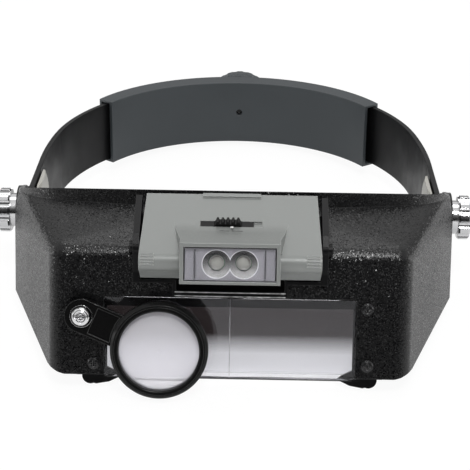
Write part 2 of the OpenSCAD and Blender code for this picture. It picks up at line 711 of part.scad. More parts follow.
// Second lens behind the main one, hung on two pins so that it folds up
flip_half = win_half + 10.6;
lug_gap = pass;
arm_in = win_half - 1;
carrier_y = flip_y - 0.4;
carrier_t = 1.8;
flip_seat = carrier_y + carrier_t;
flip_x = win_half + 1.1;
flip_at = [[flip_x, -26.5], [flip_x, -48.5], [-flip_x, -26.5], [-flip_x, -48.5]];
flip_lens_half = win_half + 3.5;
flip_lens_t = 1.4;
flip_z_low = -51.8;
flip_z_top = -22.8;
carrier_half = win_half + 8.5;
carrier_low = -26.2;
module flip_lug() {
  difference() {
    union() {
      translate([flip_half + lug_gap, lens_seat - 0.5, flip_z - 2.4])
        cube([3, flip_y - lens_seat + 0.5, 4.8]);
      rod_x(flip_half + lug_gap, flip_half + lug_gap + 3, flip_y, flip_z, 2.4);
    }
  }
}
module flip_pins() {
  color(chrome) place_visor() for (m = [0, 1]) mirror([m, 0, 0])
    rod_x(flip_half - 8, flip_half + lug_gap + 3, flip_y, flip_z, pin_r);
}
module flip_carrier() {
  color(black) place_visor() difference() {
    union() {
      rod_x(-flip_half, flip_half, flip_y, flip_z, 2.2);
      translate([-carrier_half, carrier_y, carrier_low])
        cube([2 * carrier_half, carrier_t, flip_z - carrier_low]);
      for (m = [0, 1]) mirror([m, 0, 0]) translate([0, carrier_y + carrier_t, 0])
        rotate([90, 0, 0]) linear_extrude(carrier_t) {
          polygon([[arm_in, -22], [carrier_half, -22], [carrier_half + 0.4, -50],
            [carrier_half + 0.4, -53.6], [win_half + 6.5, -56.3], [win_half + 3.5, -57.1],
            [win_half - 1.5, -56.2], [win_half - 6.9, -53.6], [win_half - 5, -52],
            [arm_in, -50]]);
          translate([win_half + 5.7, -53.9]) circle(3.2);
        }
    }
    for (s = [-1, 1]) rod_x(s * (flip_half - 4) - 4.6, s * (flip_half - 4) + 4.6,
      flip_y, flip_z, pin_r + fit);
    for (p = flip_at) rod_y(carrier_y - 1, flip_seat + 1, p[0], p[1], 0.8);
  }
}
module flip_lens() {
  color(clear) place_visor() difference() {
    union() {
      translate([-flip_lens_half, flip_seat, flip_z_low])
        cube([2 * flip_lens_half, flip_lens_t, flip_z_top - flip_z_low]);
      for (m = [0, 1]) mirror([m, 0, 0]) lens_face(0, arm_in - 0.6, flip_z_low + 0.4,
        flip_z_top - 1, flip_seat + flip_lens_t, lens_curve + 20);
    }
    for (p = flip_at) rod_y(flip_seat - 1, flip_seat + 4, p[0], p[1], 0.9);
  }
}
module flip_screws() {
  color(dark) place_visor() for (p = flip_at) union() {
    rod_y(flip_seat + flip_lens_t, flip_seat + flip_lens_t + 0.9, p[0], p[1], 1.7);
    rod_y(carrier_y, flip_seat + flip_lens_t, p[0], p[1], 0.8);
  }
}

// Lamp: points on its side view are given along the slope (u) and out of it (w)
lamp_ref = [-60, 17.3];
function lp(u, w) = lamp_ref + [-u * cos(lamp_slope) - w * sin(lamp_slope),
  w * cos(lamp_slope) - u * sin(lamp_slope)];
top_u = 31.5;
nose_r = 4;
nose = lp(top_u, -nose_r);
lamp_back = -61.4;
lamp_low = [[lamp_back, -1.2], [-65.8, -6.8], [-73, -13.2], [-78.6, -13.2]];
low_front = nose + nose_r * [-0.25, -0.968];
low_in = [[lamp_back - lamp_wall, -0.7], [-66.8, -5.9], [-73.5, -13.2 + lamp_wall],
  [-78.2, -13.2 + lamp_wall]];
front_in = nose + (nose_r - lamp_wall) * [-0.25, -0.968];
base_top = 0.5;
lamp_axis = [-74, -2.5];
lamp_pin_r = 1.5;
hood_front = -90;
hood_top = 2;
hood_low = -13.2;
hood_rear = -74.6;
cell_c = [[-68.3, 1.1], [-76.3, -6.45]];
led_x = 4.95;
led_z = -5.9;
opening_z = [-12.2, 0.6];
opening_half = hood_half - lamp_wall;
u_back = (-lamp_back - 60) / cos(lamp_slope);
module on_top() {
  translate([0, lamp_ref[0], lamp_ref[1]]) rotate([lamp_slope, 0, 0]) children();
}
module lamp_outline() {
  polygon([lp(u_back, 0), lp(top_u, 0), nose, low_front, lamp_low[3], lamp_low[2],
    lamp_low[1], lamp_low[0]]);
  translate(nose) circle(nose_r);
}
module lamp_space() {
  u0 = (-lamp_back + lamp_wall - 60 - lamp_wall * -sin(lamp_slope)) / cos(lamp_slope);
  polygon([lp(u0, -lamp_wall), lp(top_u, -lamp_wall), nose, front_in, low_in[3], low_in[2],
    low_in[1], low_in[0]]);
  translate(nose) circle(nose_r - lamp_wall);
}
module base_strip() {
  polygon([[lamp_back, base_top], lamp_low[0], lamp_low[1], lamp_low[2], lamp_low[3],
    low_front, front_in, low_in[3], low_in[2], low_in[1], low_in[0],
    [lamp_back - lamp_wall, base_top]]);
}
// Plan of the lamp with its sides drawn in towards the rear
plan_rear = lamp_back + 3.4;
plan_bend = hood_front + 6;
plan_front = hood_front - 6;
module lamp_plan(d) {
  translate([0, 0, -40]) linear_extrude(80)
    polygon([[lamp_half - lamp_taper - d, plan_rear], [lamp_half - d, plan_bend],
      [lamp_half - d, plan_front], [d - lamp_half, plan_front], [d - lamp_half, plan_bend],
      [d + lamp_taper - lamp_half, plan_rear]]);
}
// The ramp onto the light box leaves the slope in a hollow curve; it is this much narrower than
// the box
hood_in = hood_half - 0.06;
ramp_u = 15.5;
ramp_r = 14;
ramp_a = 30;
ramp_pts = [for (i = [0 : 10]) let (a = i * ramp_a / 10)
  lp(ramp_u + ramp_r * sin(a), ramp_r * (1 - cos(a)))];
module lamp_cover() {
  color(grey) place_visor() difference() {
    union() {
      intersection() {
        bar_x(80) difference() {
          lamp_outline();
          base_strip();
        }
        lamp_plan(0);
      }
      intersection() {
        bar_x(80) polygon(concat([lp(ramp_u, -0.3)], ramp_pts,
          [[hood_front, hood_top], [hood_front, hood_top - 4], lp(30, -0.3)]));
        translate([0, 0, -10]) linear_extrude(40) polygon([[hood_half + 3.2, -71],
          [hood_in, -86], [hood_in, plan_front], [-hood_in, plan_front], [-hood_in, -86],
          [-hood_half - 3.2, -71]]);
      }
      bar_x(2 * hood_half) polygon([lp(24, -3), lp(24, 0.5), [hood_front, hood_top],
        [hood_front, hood_low], [hood_rear, hood_low], [hood_rear, -11]]);
      on_top() translate([-11, -3.6, -0.3]) cube([22, 1.6, 1.1]);
      for (s = [-1, 1], i = [0 : grip_ribs - 1]) let (a = 134 + i * 15)
        translate([s * (lamp_half - 3.1) - 2.5, nose[0] + nose_r * cos(a),
          nose[1] + nose_r * sin(a)])
          rotate([0, 90, 0]) cylinder(h = 5, r = 0.3, $fn = 16);
    }
    intersection() {
      bar_x(80) {
        lamp_space();
        base_strip();
      }
      lamp_plan(lamp_wall);
    }
    bar_x(2 * opening_half) polygon([[hood_rear - lamp_wall, opening_z[0]],
      [hood_front - 1, opening_z[0]], [hood_front - 1, opening_z[1]], [-84, opening_z[1]],
      [hood_rear - lamp_wall, opening_z[1]]]);
    on_top() {
      translate([-11.6, -18.3, -0.9]) cube([23.2, 3.1, 3]);
      translate([-1.2, -17.3, -2.2]) cube([5.4, 1.1, 2]);
    }
    for (s = [-1, 1]) rod_x(s * lamp_half - 3, s * lamp_half + 3, lamp_axis[0],
      lamp_axis[1], lamp_pin_r + fit);
  }
}
contact_x = cell_l / 2 + 0.2;
contact_t = 0.5;
rib_x = contact_x + contact_t + 0.05;
module lamp_base() {
  color(grey) place_visor() union() {
    difference() {
      intersection() {
        bar_x(80) base_strip();
        lamp_plan(0);
      }
      translate([-hood_half, -100, -20]) cube([2 * hood_half, 100 + hood_rear, 20]);
    }
    for (m = [0, 1]) mirror([m, 0, 0]) bar_x_from(rib_x, rib_x + 1.2) intersection() {
      translate([0.5, -0.5]) lamp_space();
      polygon([[-60, base_top], [-63, base_top], [-81, -6.5], [-84, -14], [-60, -14]]);
    }
  }
}
module lamp_window() {
  h = opening_z[1] - opening_z[0] - 0.3;
  color(clear) place_visor() translate([0, hood_front + 0.2, opening_z[0] + 0.15])
    difference() {
      translate([0.15 - opening_half, 0, 0]) cube([2 * opening_half - 0.3, 1.5, h]);
      for (s = [-1, 1]) translate([s * 12.9 - 0.3, -1, 0.8]) cube([0.6, 1.4, h - 1.6]);
    }
}
refl_y0 = hood_front + 1.8;
refl_y1 = refl_y0 + 4.5;
module reflector() {
  color(chrome) place_visor() difference() {
    translate([0.2 - opening_half, refl_y0, opening_z[0] + 0.2])
      cube([2 * opening_half - 0.4, refl_y1 - refl_y0, opening_z[1] - opening_z[0] - 0.4]);
    for (s = [-1, 1]) translate([s * led_x, refl_y1, led_z]) rotate([90, 0, 0])
      rotate_extrude() polygon([[0, -1], [3, -1], [3, 1], [3.6, 1.8], [4.4, 3],
        [5.1, 4.6], [5.1, 6], [0, 6]]);
  }
}
module leds() {
  color([0.9, 0.9, 0.82, 0.8]) place_visor() for (s = [-1, 1]) union() {
    rod_y(refl_y1 - 0.9, refl_y1, s * led_x, led_z, 2.8);
    rod_y(refl_y1 - 2, refl_y1 - 0.5, s * led_x, led_z, 2.4);
    intersection() {
      translate([s * led_x, refl_y1 - 2, led_z]) sphere(2.4, $fn = 48);
      rod_y(refl_y1 - 6, refl_y1 - 1, s * led_x, led_z, 3);
    }
  }
}
module lamp_board() {
  color([0.1, 0.35, 0.2]) place_visor() translate([-15, refl_y1, opening_z[0] + 0.3])
    cube([30, 0.6, opening_z[1] - opening_z[0] - 1.2]);
}
module batteries() {
  color([0.5, 0.5, 0.52]) place_visor() for (i = [0, 1]) mirror([i, 0, 0]) union() {
    rod_x(-cell_l / 2, cell_l / 2 - 0.8, cell_c[i][0], cell_c[i][1], cell_d / 2);
    rod_x(cell_l / 2 - 0.8, cell_l / 2, cell_c[i][0], cell_c[i][1], 1.9);
  }
}
module battery_contacts() {
  v = cell_c[1] - cell_c[0];
  color(chrome) place_visor() for (m = [0, 1]) mirror([m, 0, 0])
    bar_x_from(contact_x, contact_x + contact_t) {
      for (c = cell_c) translate(c) circle(3.6);
      translate(cell_c[0]) rotate([0, 0, atan2(v[1], v[0])]) translate([0, -3])
        square([norm(v), 6]);
    }
}
module switch_slider() {
  color(dark) place_visor() on_top() {
    translate([-11.4, -18.15, -0.85]) cube([19.8, 2.8, 0.8]);
    translate([-1, -17.15, -1.7]) cube([2, 0.8, 1]);
    translate([-1.2, 0, 0]) rotate([90, 0, 0]) translate([0, 0, 15.5]) linear_extrude(2.4) {
      polygon([[-5.4, -0.2], [5.4, -0.2], [4.2, 1.3], [-4.2, 1.3]]);
      for (i = [0 : switch_ridges - 1]) let (x = (i - (switch_ridges - 1) / 2) * 1.9)
        polygon([[x - 0.75, 1], [x + 0.75, 1], [x + 0.3, 2.5], [x - 0.3, 2.5]]);
    }
  }
}
lip_front = -76.2;
lip_t2 = 1.3;
cheek_in = lamp_half + pass;
module lamp_cradle() {
  w = 2 * well_half;
  floor_pts = [[well_back, 8.2], [well_back, -1], [-63.4, -8.6], [-68.9, well_z],
    [lip_front, well_z], [lip_front, well_z + lip_t2], [-69.8, well_z + lip_t2],
    [-64.6, -7.6], [-60.5, -0.6], [-60.5, 8.2]];
  color(black) place_visor() difference() {
    union() {
      difference() {
        bar_x(w) polygon(floor_pts);
        translate([-hood_well, -90, -20]) cube([2 * hood_well, 90 - 71.6 + lip_t2, 10]);
      }
      translate([-hood_well, lip_front, hood_z])
        cube([2 * hood_well, -71.6 + lip_t2 - lip_front, well_z + lip_t2 - hood_z]);
      for (m = [0, 1]) mirror([m, 0, 0]) bar_x_from(cheek_in, well_half) {
        polygon([[well_back, 8.2], lp(1.2, -2.6), lp(2.2, -0.7), lp(21, -0.7),
          lamp_axis + [-3.3, 1.6], lamp_axis + [-3.3, -1.6], [lip_front, well_z + 4],
          [lip_front, well_z], [-68.9, well_z], [-63.4, -8.6], [well_back, -1]]);
        translate(lamp_axis) circle(3.6);
      }
    }
    translate([lip_t2 - hood_well, -90, hood_z + lip_t2])
      cube([2 * (hood_well - lip_t2), 90 - 71.6, 20]);
    for (s = [-1, 1]) rod_x(s * well_half - 6, s * well_half + 6, lamp_axis[0],
      lamp_axis[1], lamp_pin_r);
  }
}
module lamp_pins() {
  color(dark) place_visor() for (m = [0, 1]) mirror([m, 0, 0]) union() {
    rod_x(lamp_half - lamp_wall, well_half, lamp_axis[0], lamp_axis[1], lamp_pin_r);
    rod_x(well_half, well_half + 1.4, lamp_axis[0], lamp_axis[1], 2.4);
  }
}

headband_strap();
forehead_pad();
adjuster_inner_cover();
adjuster_outer_cover();
adjuster_pinion();
adjuster_knob();
knob_washer();
knob_screw();
pivot_bolts();
pivot_caps();
friction_washers();
thumb_nut_left();
thumb_nut_right();
visor_shell();
main_lens();
lens_screws();
lens_nuts();
loupe_screw();
loupe_washer();
loupe_nut();
loupe_arm();
loupe_lens();
loupe_retainer();
flip_carrier();
flip_lens();
flip_screws();
flip_pins();
lamp_cradle();
lamp_pins();
lamp_base();
lamp_cover();
lamp_window();
reflector();
leds();
lamp_board();
batteries();
battery_contacts();
switch_slider();
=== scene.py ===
# %% [markdown]
# # A lighted headband magnifier
# The shapes come from the imported solids, so this file is about finish: what each piece is
# made of, how light meets it, and where the camera stands. We load the solids first.

# %% Load the solids
import math

import bmesh
import bpy
from mathutils import Matrix, Vector


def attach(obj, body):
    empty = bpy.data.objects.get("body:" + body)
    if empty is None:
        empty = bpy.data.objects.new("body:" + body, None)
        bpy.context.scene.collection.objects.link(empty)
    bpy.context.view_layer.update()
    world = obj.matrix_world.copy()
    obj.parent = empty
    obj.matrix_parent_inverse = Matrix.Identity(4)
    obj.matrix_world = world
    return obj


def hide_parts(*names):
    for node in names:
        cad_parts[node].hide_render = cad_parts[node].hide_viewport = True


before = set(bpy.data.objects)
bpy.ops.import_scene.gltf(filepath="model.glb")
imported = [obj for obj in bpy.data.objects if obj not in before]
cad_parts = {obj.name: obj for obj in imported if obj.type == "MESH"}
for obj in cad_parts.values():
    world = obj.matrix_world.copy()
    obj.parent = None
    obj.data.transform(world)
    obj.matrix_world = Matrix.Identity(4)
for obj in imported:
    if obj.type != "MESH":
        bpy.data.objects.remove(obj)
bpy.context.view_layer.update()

# %% [markdown]
# ## Camera
# The photograph looks down on the magnifier a little, from so far away that the view is
# nearly flat. Place, turn and focal length were fitted to pairs that are symmetric on the
# real piece: the two nuts, the ends of the rear block and the corners of the window.

# %% Camera
CAMERA_PLACE = (0.008494, -0.593282, 0.333296)
CAMERA_TURN = (61.0642, -0.5349, 1.1096)
CAMERA_LENS = 116.584

camera_data = bpy.data.cameras.new("camera")
camera_data.lens = CAMERA_LENS
camera_data.sensor_width = 36
camera_data.clip_start = 0.01
camera_data.clip_end = 60
camera = bpy.data.objects.new("camera", camera_data)
camera.location = CAMERA_PLACE
camera.rotation_euler = [math.radians(a) for a in CAMERA_TURN]
bpy.context.scene.collection.objects.link(camera)
bpy.context.scene.camera = camera
bpy.context.scene.view_settings.view_transform = "Standard"
camera_way = camera.rotation_euler.to_matrix() @ Vector((0, 0, -1))
print("camera looks along", tuple(round(v, 3) for v in camera_way))

# %% [markdown]
# ## Lights
# Black plastic shows almost nothing of its own colour; it shows what it mirrors. Soft boxes
# above and at both sides turn the deck and the wings grey. The front plate has only a dark
# room and the sheet of paper before it, so it stays much darker. The small box high in front
# gives the grain its glints. Each is an area lamp aimed at the middle of the piece, because
# a lamp with a size gives the wide, soft highlights of a picture taken in a studio.

# %% Soft boxes
AIM = Vector((0, -0.03, 0.03))


def soft_box(name, place, size, power):
    """Area lamp at place, in metres, turned towards the piece."""
    data = bpy.data.lights.new(name, "AREA")
    data.shape = "RECTANGLE"
    data.size, data.size_y = size
    data.energy = power
    lamp = bpy.data.objects.new(name, data)
    lamp.location = place
    lamp.rotation_mode = "QUATERNION"
    lamp.rotation_quaternion = (AIM - Vector(place)).to_track_quat("-Z", "Y")
    bpy.context.scene.collection.objects.link(lamp)
    return lamp


lamps = [
    soft_box("top_box", (0.0, 0.4, 1.2), (0.9, 0.5), 3.0),
    soft_box("key_box", (0.1, -0.72, 1.1), (0.37, 0.25), 6.5),
    soft_box("left_box", (-0.9, 0.05, 0.12), (0.3, 0.3), 1.1),
    soft_box("right_box", (0.9, 0.05, 0.12), (0.3, 0.3), 1.1),
]
print("soft boxes:", [lamp.name for lamp in lamps])

# %% [markdown]
# ## Node helpers
# A material and the world are both trees of small nodes. Writing out every link makes long
# lists, so three helpers do it: one makes a node, one also feeds its inputs in order, and
# one maps a value from one range to another.

# %% Node helpers
def add(tree, kind, **values):
    """Makes a node and sets its named properties and inputs."""
    node = tree.nodes.new(kind)
    for key, value in values.items():
        if key in node.inputs:
            node.inputs[key].default_value = value
        else:
            setattr(node, key, value)
    return node


def wired(tree, kind, *feeds, **values):
    """Makes a node and feeds its inputs in order: outputs are linked, numbers are set."""
    node = add(tree, kind, **values)
    for feed, socket in zip(feeds, node.inputs):
        if isinstance(feed, bpy.types.NodeSocket):
            tree.links.new(feed, socket)
        elif feed is not None:
            socket.default_value = feed
    return node


def map_range(tree, value, low, high, out_low, out_high, kind="LINEAR"):
    """Maps value from low..high to out_low..out_high."""
    node = add(tree, "ShaderNodeMapRange", interpolation_type=kind)
    ends = zip(("From Min", "From Max", "To Min", "To Max"), (low, high, out_low, out_high))
    for key, number in ends:
        node.inputs[key].default_value = number
    tree.links.new(value, node.inputs["Value"])
    return node.outputs[0]


print("helpers:", add.__name__, wired.__name__, map_range.__name__)

# %% [markdown]
# ## Room
# The ground of the photograph is plain white. So the world is white, at strength 1, where
# the camera or a clear lens looks at it, and weaker where it only adds light. A mirrored ray
# sees a light grey above and beside the piece, and a darker room towards the front and
# towards the horizon. A black moulding is only as dark as what it mirrors, and the front
# plate in the photograph is nearly black. That is a choice for the sake of the black pieces:
# the metal mirrors less of the white ground for it.

# %% World
WHITE = (1, 1, 1, 1)
MIRRORED_GREY = (0.8, 0.8, 0.8, 1)
ROOM_LIGHT = 0.45
FRONT_DARK, FRONT_FULL, FRONT_ENDS = 0.05, -0.95, -0.35
HORIZON_DARK, HORIZON_FULL, HORIZON_ENDS = 0.12, 0.02, 0.45

world = bpy.data.worlds.new("room")
bpy.context.scene.world = world
world.use_nodes = True
room = world.node_tree
room.nodes.clear()

way = wired(room, "ShaderNodeSeparateXYZ", add(room, "ShaderNodeTexCoord").outputs["Generated"])
front = map_range(room, way.outputs["Y"], FRONT_FULL, FRONT_ENDS, FRONT_DARK, 1.0, "SMOOTHSTEP")
low = map_range(
    room, way.outputs["Z"], HORIZON_FULL, HORIZON_ENDS, HORIZON_DARK, 1.0, "SMOOTHSTEP"
)
both_dark = wired(room, "ShaderNodeMath", front, low, operation="MULTIPLY").outputs[0]
room_mirrored = wired(room, "ShaderNodeBackground", MIRRORED_GREY, both_dark).outputs[0]
room_even = wired(room, "ShaderNodeBackground", WHITE, ROOM_LIGHT).outputs[0]
room_white = wired(room, "ShaderNodeBackground", WHITE, 1.0).outputs[0]

ray = add(room, "ShaderNodeLightPath").outputs
looked_at = wired(
    room, "ShaderNodeMath", ray["Is Camera Ray"], ray["Is Transmission Ray"], operation="MAXIMUM"
).outputs[0]
room_lit = wired(room, "ShaderNodeMixShader", ray["Is Glossy Ray"], room_even, room_mirrored)
room_all = wired(room, "ShaderNodeMixShader", looked_at, room_lit.outputs[0], room_white)
wired(room, "ShaderNodeOutputWorld", room_all.outputs[0])
print("room light", ROOM_LIGHT, "front", FRONT_DARK, "horizon", HORIZON_DARK)

# %% [markdown]
# ## Floor
# The piece lies on a large sheet of white paper. Paper under lamps is never as even as the
# ground of a catalogue picture, so most of what the camera sees of it is a white of its own,
# and the rest is lit paper, which keeps the shadow. Through a clear lens half as much of its
# own white shows, which gives the window the light grey that it has in the photograph.

# %% Floor
FLOOR_SIZE = 8.0
FLOOR_GAP = 0.0002
PAPER_WHITE, PAPER_ROUGH = 0.93, 0.9
FLOOR_GLOW, GLOW_THROUGH_LENS, GLOW_STRENGTH = 0.9, 0.45, 1.035

floor_mesh = bpy.data.meshes.new("floor")
half = FLOOR_SIZE / 2
floor_mesh.from_pydata(
    [(-half, -half, 0), (half, -half, 0), (half, half, 0), (-half, half, 0)], [], [(0, 1, 2, 3)]
)
floor = bpy.data.objects.new("floor", floor_mesh)
floor.location.z = -FLOOR_GAP
bpy.context.scene.collection.objects.link(floor)

paper = bpy.data.materials.new("white_paper")
paper.use_nodes = True
sheet = paper.node_tree
lit_paper = sheet.nodes["Principled BSDF"]
lit_paper.inputs["Base Color"].default_value = (PAPER_WHITE, PAPER_WHITE, PAPER_WHITE, 1)
lit_paper.inputs["Roughness"].default_value = PAPER_ROUGH
ray = add(sheet, "ShaderNodeLightPath").outputs
seen = wired(sheet, "ShaderNodeMath", ray["Is Camera Ray"], FLOOR_GLOW, operation="MULTIPLY")
share = wired(
    sheet, "ShaderNodeMath", ray["Is Transmission Ray"], GLOW_THROUGH_LENS, seen.outputs[0],
    operation="MULTIPLY_ADD",
)
glow = add(sheet, "ShaderNodeEmission", Strength=GLOW_STRENGTH)
mixed = wired(
    sheet, "ShaderNodeMixShader", share.outputs[0], lit_paper.outputs[0], glow.outputs[0]
)
sheet.links.new(mixed.outputs[0], sheet.nodes["Material Output"].inputs["Surface"])
floor_mesh.materials.append(paper)
print("floor:", FLOOR_SIZE, "m, own white", FLOOR_GLOW)

# %% [markdown]
# ## Finishes
# Every finish starts from the same small kit. Object coordinates are in metres, so a grain
# of 0.4 mm is a noise of scale 2500. Real mouldings have no sharp edges: a bevel in the
# normal rounds them where the light catches, and its difference from the flat normal tells
# us where an edge is. Some finishes tint their edges lighter there: on the visor that is
# wear from handling, on the others a painted highlight.

# %% Finish kit
EDGE = 0.0003
EDGE_BEGINS, EDGE_FULL = 0.985, 0.86


class Finish:
    """A material under construction, with short ways to add grain, edges and colour."""

    def __init__(self, name, colour, rough, **sockets):
        self.material = bpy.data.materials.new(name)
        self.material.use_nodes = True
        self.tree = self.material.node_tree
        self.face = self.tree.nodes["Principled BSDF"]
        self.face.inputs["Base Color"].default_value = (*colour, 1)
        self.face.inputs["Roughness"].default_value = rough
        for key, value in sockets.items():
            self.face.inputs[key.replace("_", " ")].default_value = value
        self.place = add(self.tree, "ShaderNodeTexCoord").outputs["Object"]
        self.normal = None

    def link(self, a, b):
        self.tree.links.new(a, b)

    def node(self, kind, *feeds, **values):
        return wired(self.tree, kind, *feeds, **values)

    def reckon(self, operation, *feeds):
        """Result of a Math node."""
        return self.node("ShaderNodeMath", *feeds, operation=operation).outputs[0]

    def steer(self, operation, *feeds):
        """Result of a Vector Math node, whose fourth input is the scale."""
        outputs = self.node("ShaderNodeVectorMath", *feeds, operation=operation).outputs
        return outputs["Value" if operation in ("LENGTH", "DOT_PRODUCT") else "Vector"]

    def ramp(self, value, low, high, out_low, out_high):
        return map_range(self.tree, value, low, high, out_low, out_high)

    def noise(self, size_mm, detail=2.0, stretch=None):
        """Noise whose grains measure about size_mm, its scale multiplied by stretch."""
        place = self.place
        if stretch:
            place = self.node("ShaderNodeMapping", place, Scale=stretch).outputs[0]
        scale = 1000.0 / size_mm
        return self.node("ShaderNodeTexNoise", place, Scale=scale, Detail=detail).outputs["Fac"]

    def round_edges(self, radius=EDGE):
        """Rounds the edges in the normal and returns a mask that is 1 on them."""
        self.normal = add(self.tree, "ShaderNodeBevel", samples=6, Radius=radius).outputs[0]
        flat = add(self.tree, "ShaderNodeNewGeometry").outputs["Normal"]
        alike = self.steer("DOT_PRODUCT", self.normal, flat)
        return self.ramp(alike, EDGE_BEGINS, EDGE_FULL, 0.0, 1.0)

    def bump(self, height, strength, depth_mm):
        """Raises the surface by height, on top of what is there."""
        node = add(self.tree, "ShaderNodeBump", Strength=strength, Distance=depth_mm / 1000.0)
        self.link(height, node.inputs["Height"])
        if self.normal is not None:
            self.link(self.normal, node.inputs["Normal"])
        self.normal = node.outputs[0]

    def grain(self, size_mm, strength, depth_mm, detail=2.0, stretch=None):
        """Bump of one noise."""
        self.bump(self.noise(size_mm, detail, stretch), strength, depth_mm)

    def tint(self, mask, colour):
        """Mixes the colour so far towards another one, a tuple or an output, by mask."""
        mix = add(self.tree, "ShaderNodeMix", data_type="RGBA")
        self.link(mask, mix.inputs["Factor"])
        before = self.face.inputs["Base Color"]
        if before.is_linked:
            self.link(before.links[0].from_socket, mix.inputs["A"])
        else:
            mix.inputs["A"].default_value = before.default_value
        if isinstance(colour, tuple):
            mix.inputs["B"].default_value = (*colour, 1)
        else:
            self.link(colour, mix.inputs["B"])
        self.link(mix.outputs["Result"], before)

    def shine(self, value):
        self.link(value, self.face.inputs["Roughness"])

    def done(self):
        if self.normal is not None:
            self.link(self.normal, self.face.inputs["Normal"])
        return self.material


print("edges are rounded by", EDGE * 1000, "mm where a finish names no radius")

# %% [markdown]
# ## Dressing the solids
# We leave the mesh of a solid as it is and only change what it wears, so that its shape and
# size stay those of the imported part. Pieces that are made of the same stuff share a finish.

# %% Dressing
def dress(material, *nodes):
    """Gives the finish to every material slot of the named solids."""
    for name in nodes:
        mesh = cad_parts[name].data
        mesh.materials.clear()
        mesh.materials.append(material)
    print(material.name, "on", ", ".join(nodes))


print("solids to dress:", len(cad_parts))

# %% [markdown]
# ## Places on the band and on the lamp
# The band and the visor are drawn in their own tilted frames, whose shared origin is the
# middle of the pivot axis. We repeat those frames here, so that a new piece is placed with
# the same numbers as the moulding that carries it.

# %% Frames
BAND_TILT, VISOR_TILT = -5.89, -19.79
PIVOT = Matrix.Translation((0, -0.0288, 0.03168))
BAND = PIVOT @ Matrix.Rotation(math.radians(BAND_TILT), 4, "X")
VISOR = PIVOT @ Matrix.Rotation(math.radians(VISOR_TILT), 4, "X")
MM = Matrix.Scale(0.001, 4)
print("pivot axis at", tuple(round(v, 4) for v in PIVOT.translation))

# %% [markdown]
# ## New pieces
# The few pieces that the solids leave out are closed skins over a stack of rings, like a
# sleeve that is drawn over hoops and sewn up at both ends. Each rides on the body that
# carries it, so that it moves with the joints.

# %% New pieces
def skin(rings, count):
    """Faces over rings of count points each, closed at both ends."""
    faces = []
    for i in range(rings - 1):
        a, b = i * count, (i + 1) * count
        for j in range(count):
            k = (j + 1) % count
            faces.append((a + j, a + k, b + k, b + j))
    last = (rings - 1) * count
    return faces + [tuple(range(count)), tuple(last + j for j in reversed(range(count)))]


def piece(name, points, faces, frame_matrix, body, slot, finish):
    """New mesh whose points are millimetres in one of the frames, riding on a body."""
    mesh = bpy.data.meshes.new(name)
    mesh.from_pydata([frame_matrix @ MM @ Vector(p) for p in points], [], faces)
    mesh.validate()
    form = bmesh.new()
    form.from_mesh(mesh)
    bmesh.ops.recalc_face_normals(form, faces=form.faces)
    form.to_mesh(mesh)
    form.free()
    for face in mesh.polygons:
        face.use_smooth = True
    mesh.materials.append(finish)
    made = bpy.data.objects.new(name, mesh)
    bpy.context.scene.collection.objects.link(made)
    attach(made, body)
    print(name, "rides on", body, "with", len(mesh.vertices), "points")
    return made


print("a skin over 3 rings of 4 points has", len(skin(3, 4)), "faces")

# %% [markdown]
# ## Forehead pad: the path
# The pad is foam in a cloth cover, glued inside the front of the band. The band's inner face
# is three arcs, a flat one across the forehead and a tight one at each temple. We walk along
# the same arcs, so that the pad lies on the band all the way.

# %% Pad path
FRONT = ((0.0, 114.506), 164.256, -112.41, -67.59)
TEMPLE = ((50.5, -8.0), 31.75, -67.59, -44.6)


def pad_path(step=1.6):
    """Stations along the band's inner face: place, direction to the inside, run so far."""
    (tx, ty), tr, t1, t2 = TEMPLE
    arcs = [((-tx, ty), tr, -180 - t2, -180 - t1), FRONT, TEMPLE]
    run, out = 0.0, []
    for (cx, cy), r, a1, a2 in arcs:
        count = max(4, round(math.radians(a2 - a1) * r / step))
        for i in range(count + (a2 == t2)):
            a = math.radians(a1 + (a2 - a1) * i / count)
            place = (cx + r * math.cos(a), cy + r * math.sin(a))
            out.append((place, (-math.cos(a), -math.sin(a)), run))
            run += math.radians(a2 - a1) * r / count
    return out


print("pad path:", len(pad_path()), "stations over", round(pad_path()[-1][2], 1), "mm")

# %% [markdown]
# ## Forehead pad: the form
# Its section is crowned, and its two long edges are pinched to a sewn bead. Shallow channels
# let it bend round the temples, and the ends are rounded down. A subdivided box with a cloth
# simulation would do this too, but a swept section keeps the bead crisp and the size known.

# %% Pad form
PAD_T, PAD_H = 4.8, 23.6
CHANNELS, CHANNEL_DEPTH, CHANNEL_REACH = 7, 0.28, 1.5
END_REACH = 7.0
BEAD_TOP = 0.3
HALF_SECTION = [
    (0.02, 0.0), (0.02, 0.45), (0.02, 0.90), (0.04, 0.97), (0.12, 1.0), (0.22, 0.97),
    (0.25, 0.925), (0.36, 0.89), (0.56, 0.80), (0.76, 0.64), (0.91, 0.42), (0.99, 0.17),
]
SECTION = HALF_SECTION + [(n, -z) for n, z in reversed(HALF_SECTION[1:])]


def pad_mesh():
    """Sweeps the section along the path, lower in the channels and at the ends."""
    stations = pad_path()
    whole = stations[-1][2]
    points = []
    for (x, y), (nx, ny), run in stations:
        to_end = min(run, whole - run) + 0.25
        end = math.sqrt(1 - (1 - min(1.0, to_end / END_REACH)) ** 2.6)
        off = abs((run / whole * CHANNELS) % 1.0 - 0.5) * whole / CHANNELS
        dip = 1 - CHANNEL_DEPTH * math.exp(-((off / CHANNEL_REACH) ** 2))
        for n, z in SECTION:
            crown = n if n < BEAD_TOP else BEAD_TOP + (n - BEAD_TOP) * dip
            soft = 1 + 0.015 * math.sin(run * 0.83 + 3 * z) * (n > BEAD_TOP)
            inward = PAD_T * crown * soft * (0.35 + 0.65 * end)
            height = PAD_H / 2 * z * (0.6 + 0.4 * end)
            points.append((x + nx * inward, y + ny * inward, height))
    return points, skin(len(stations), len(SECTION))


print("pad section:", len(SECTION), "points,", PAD_T, "by", PAD_H, "mm")

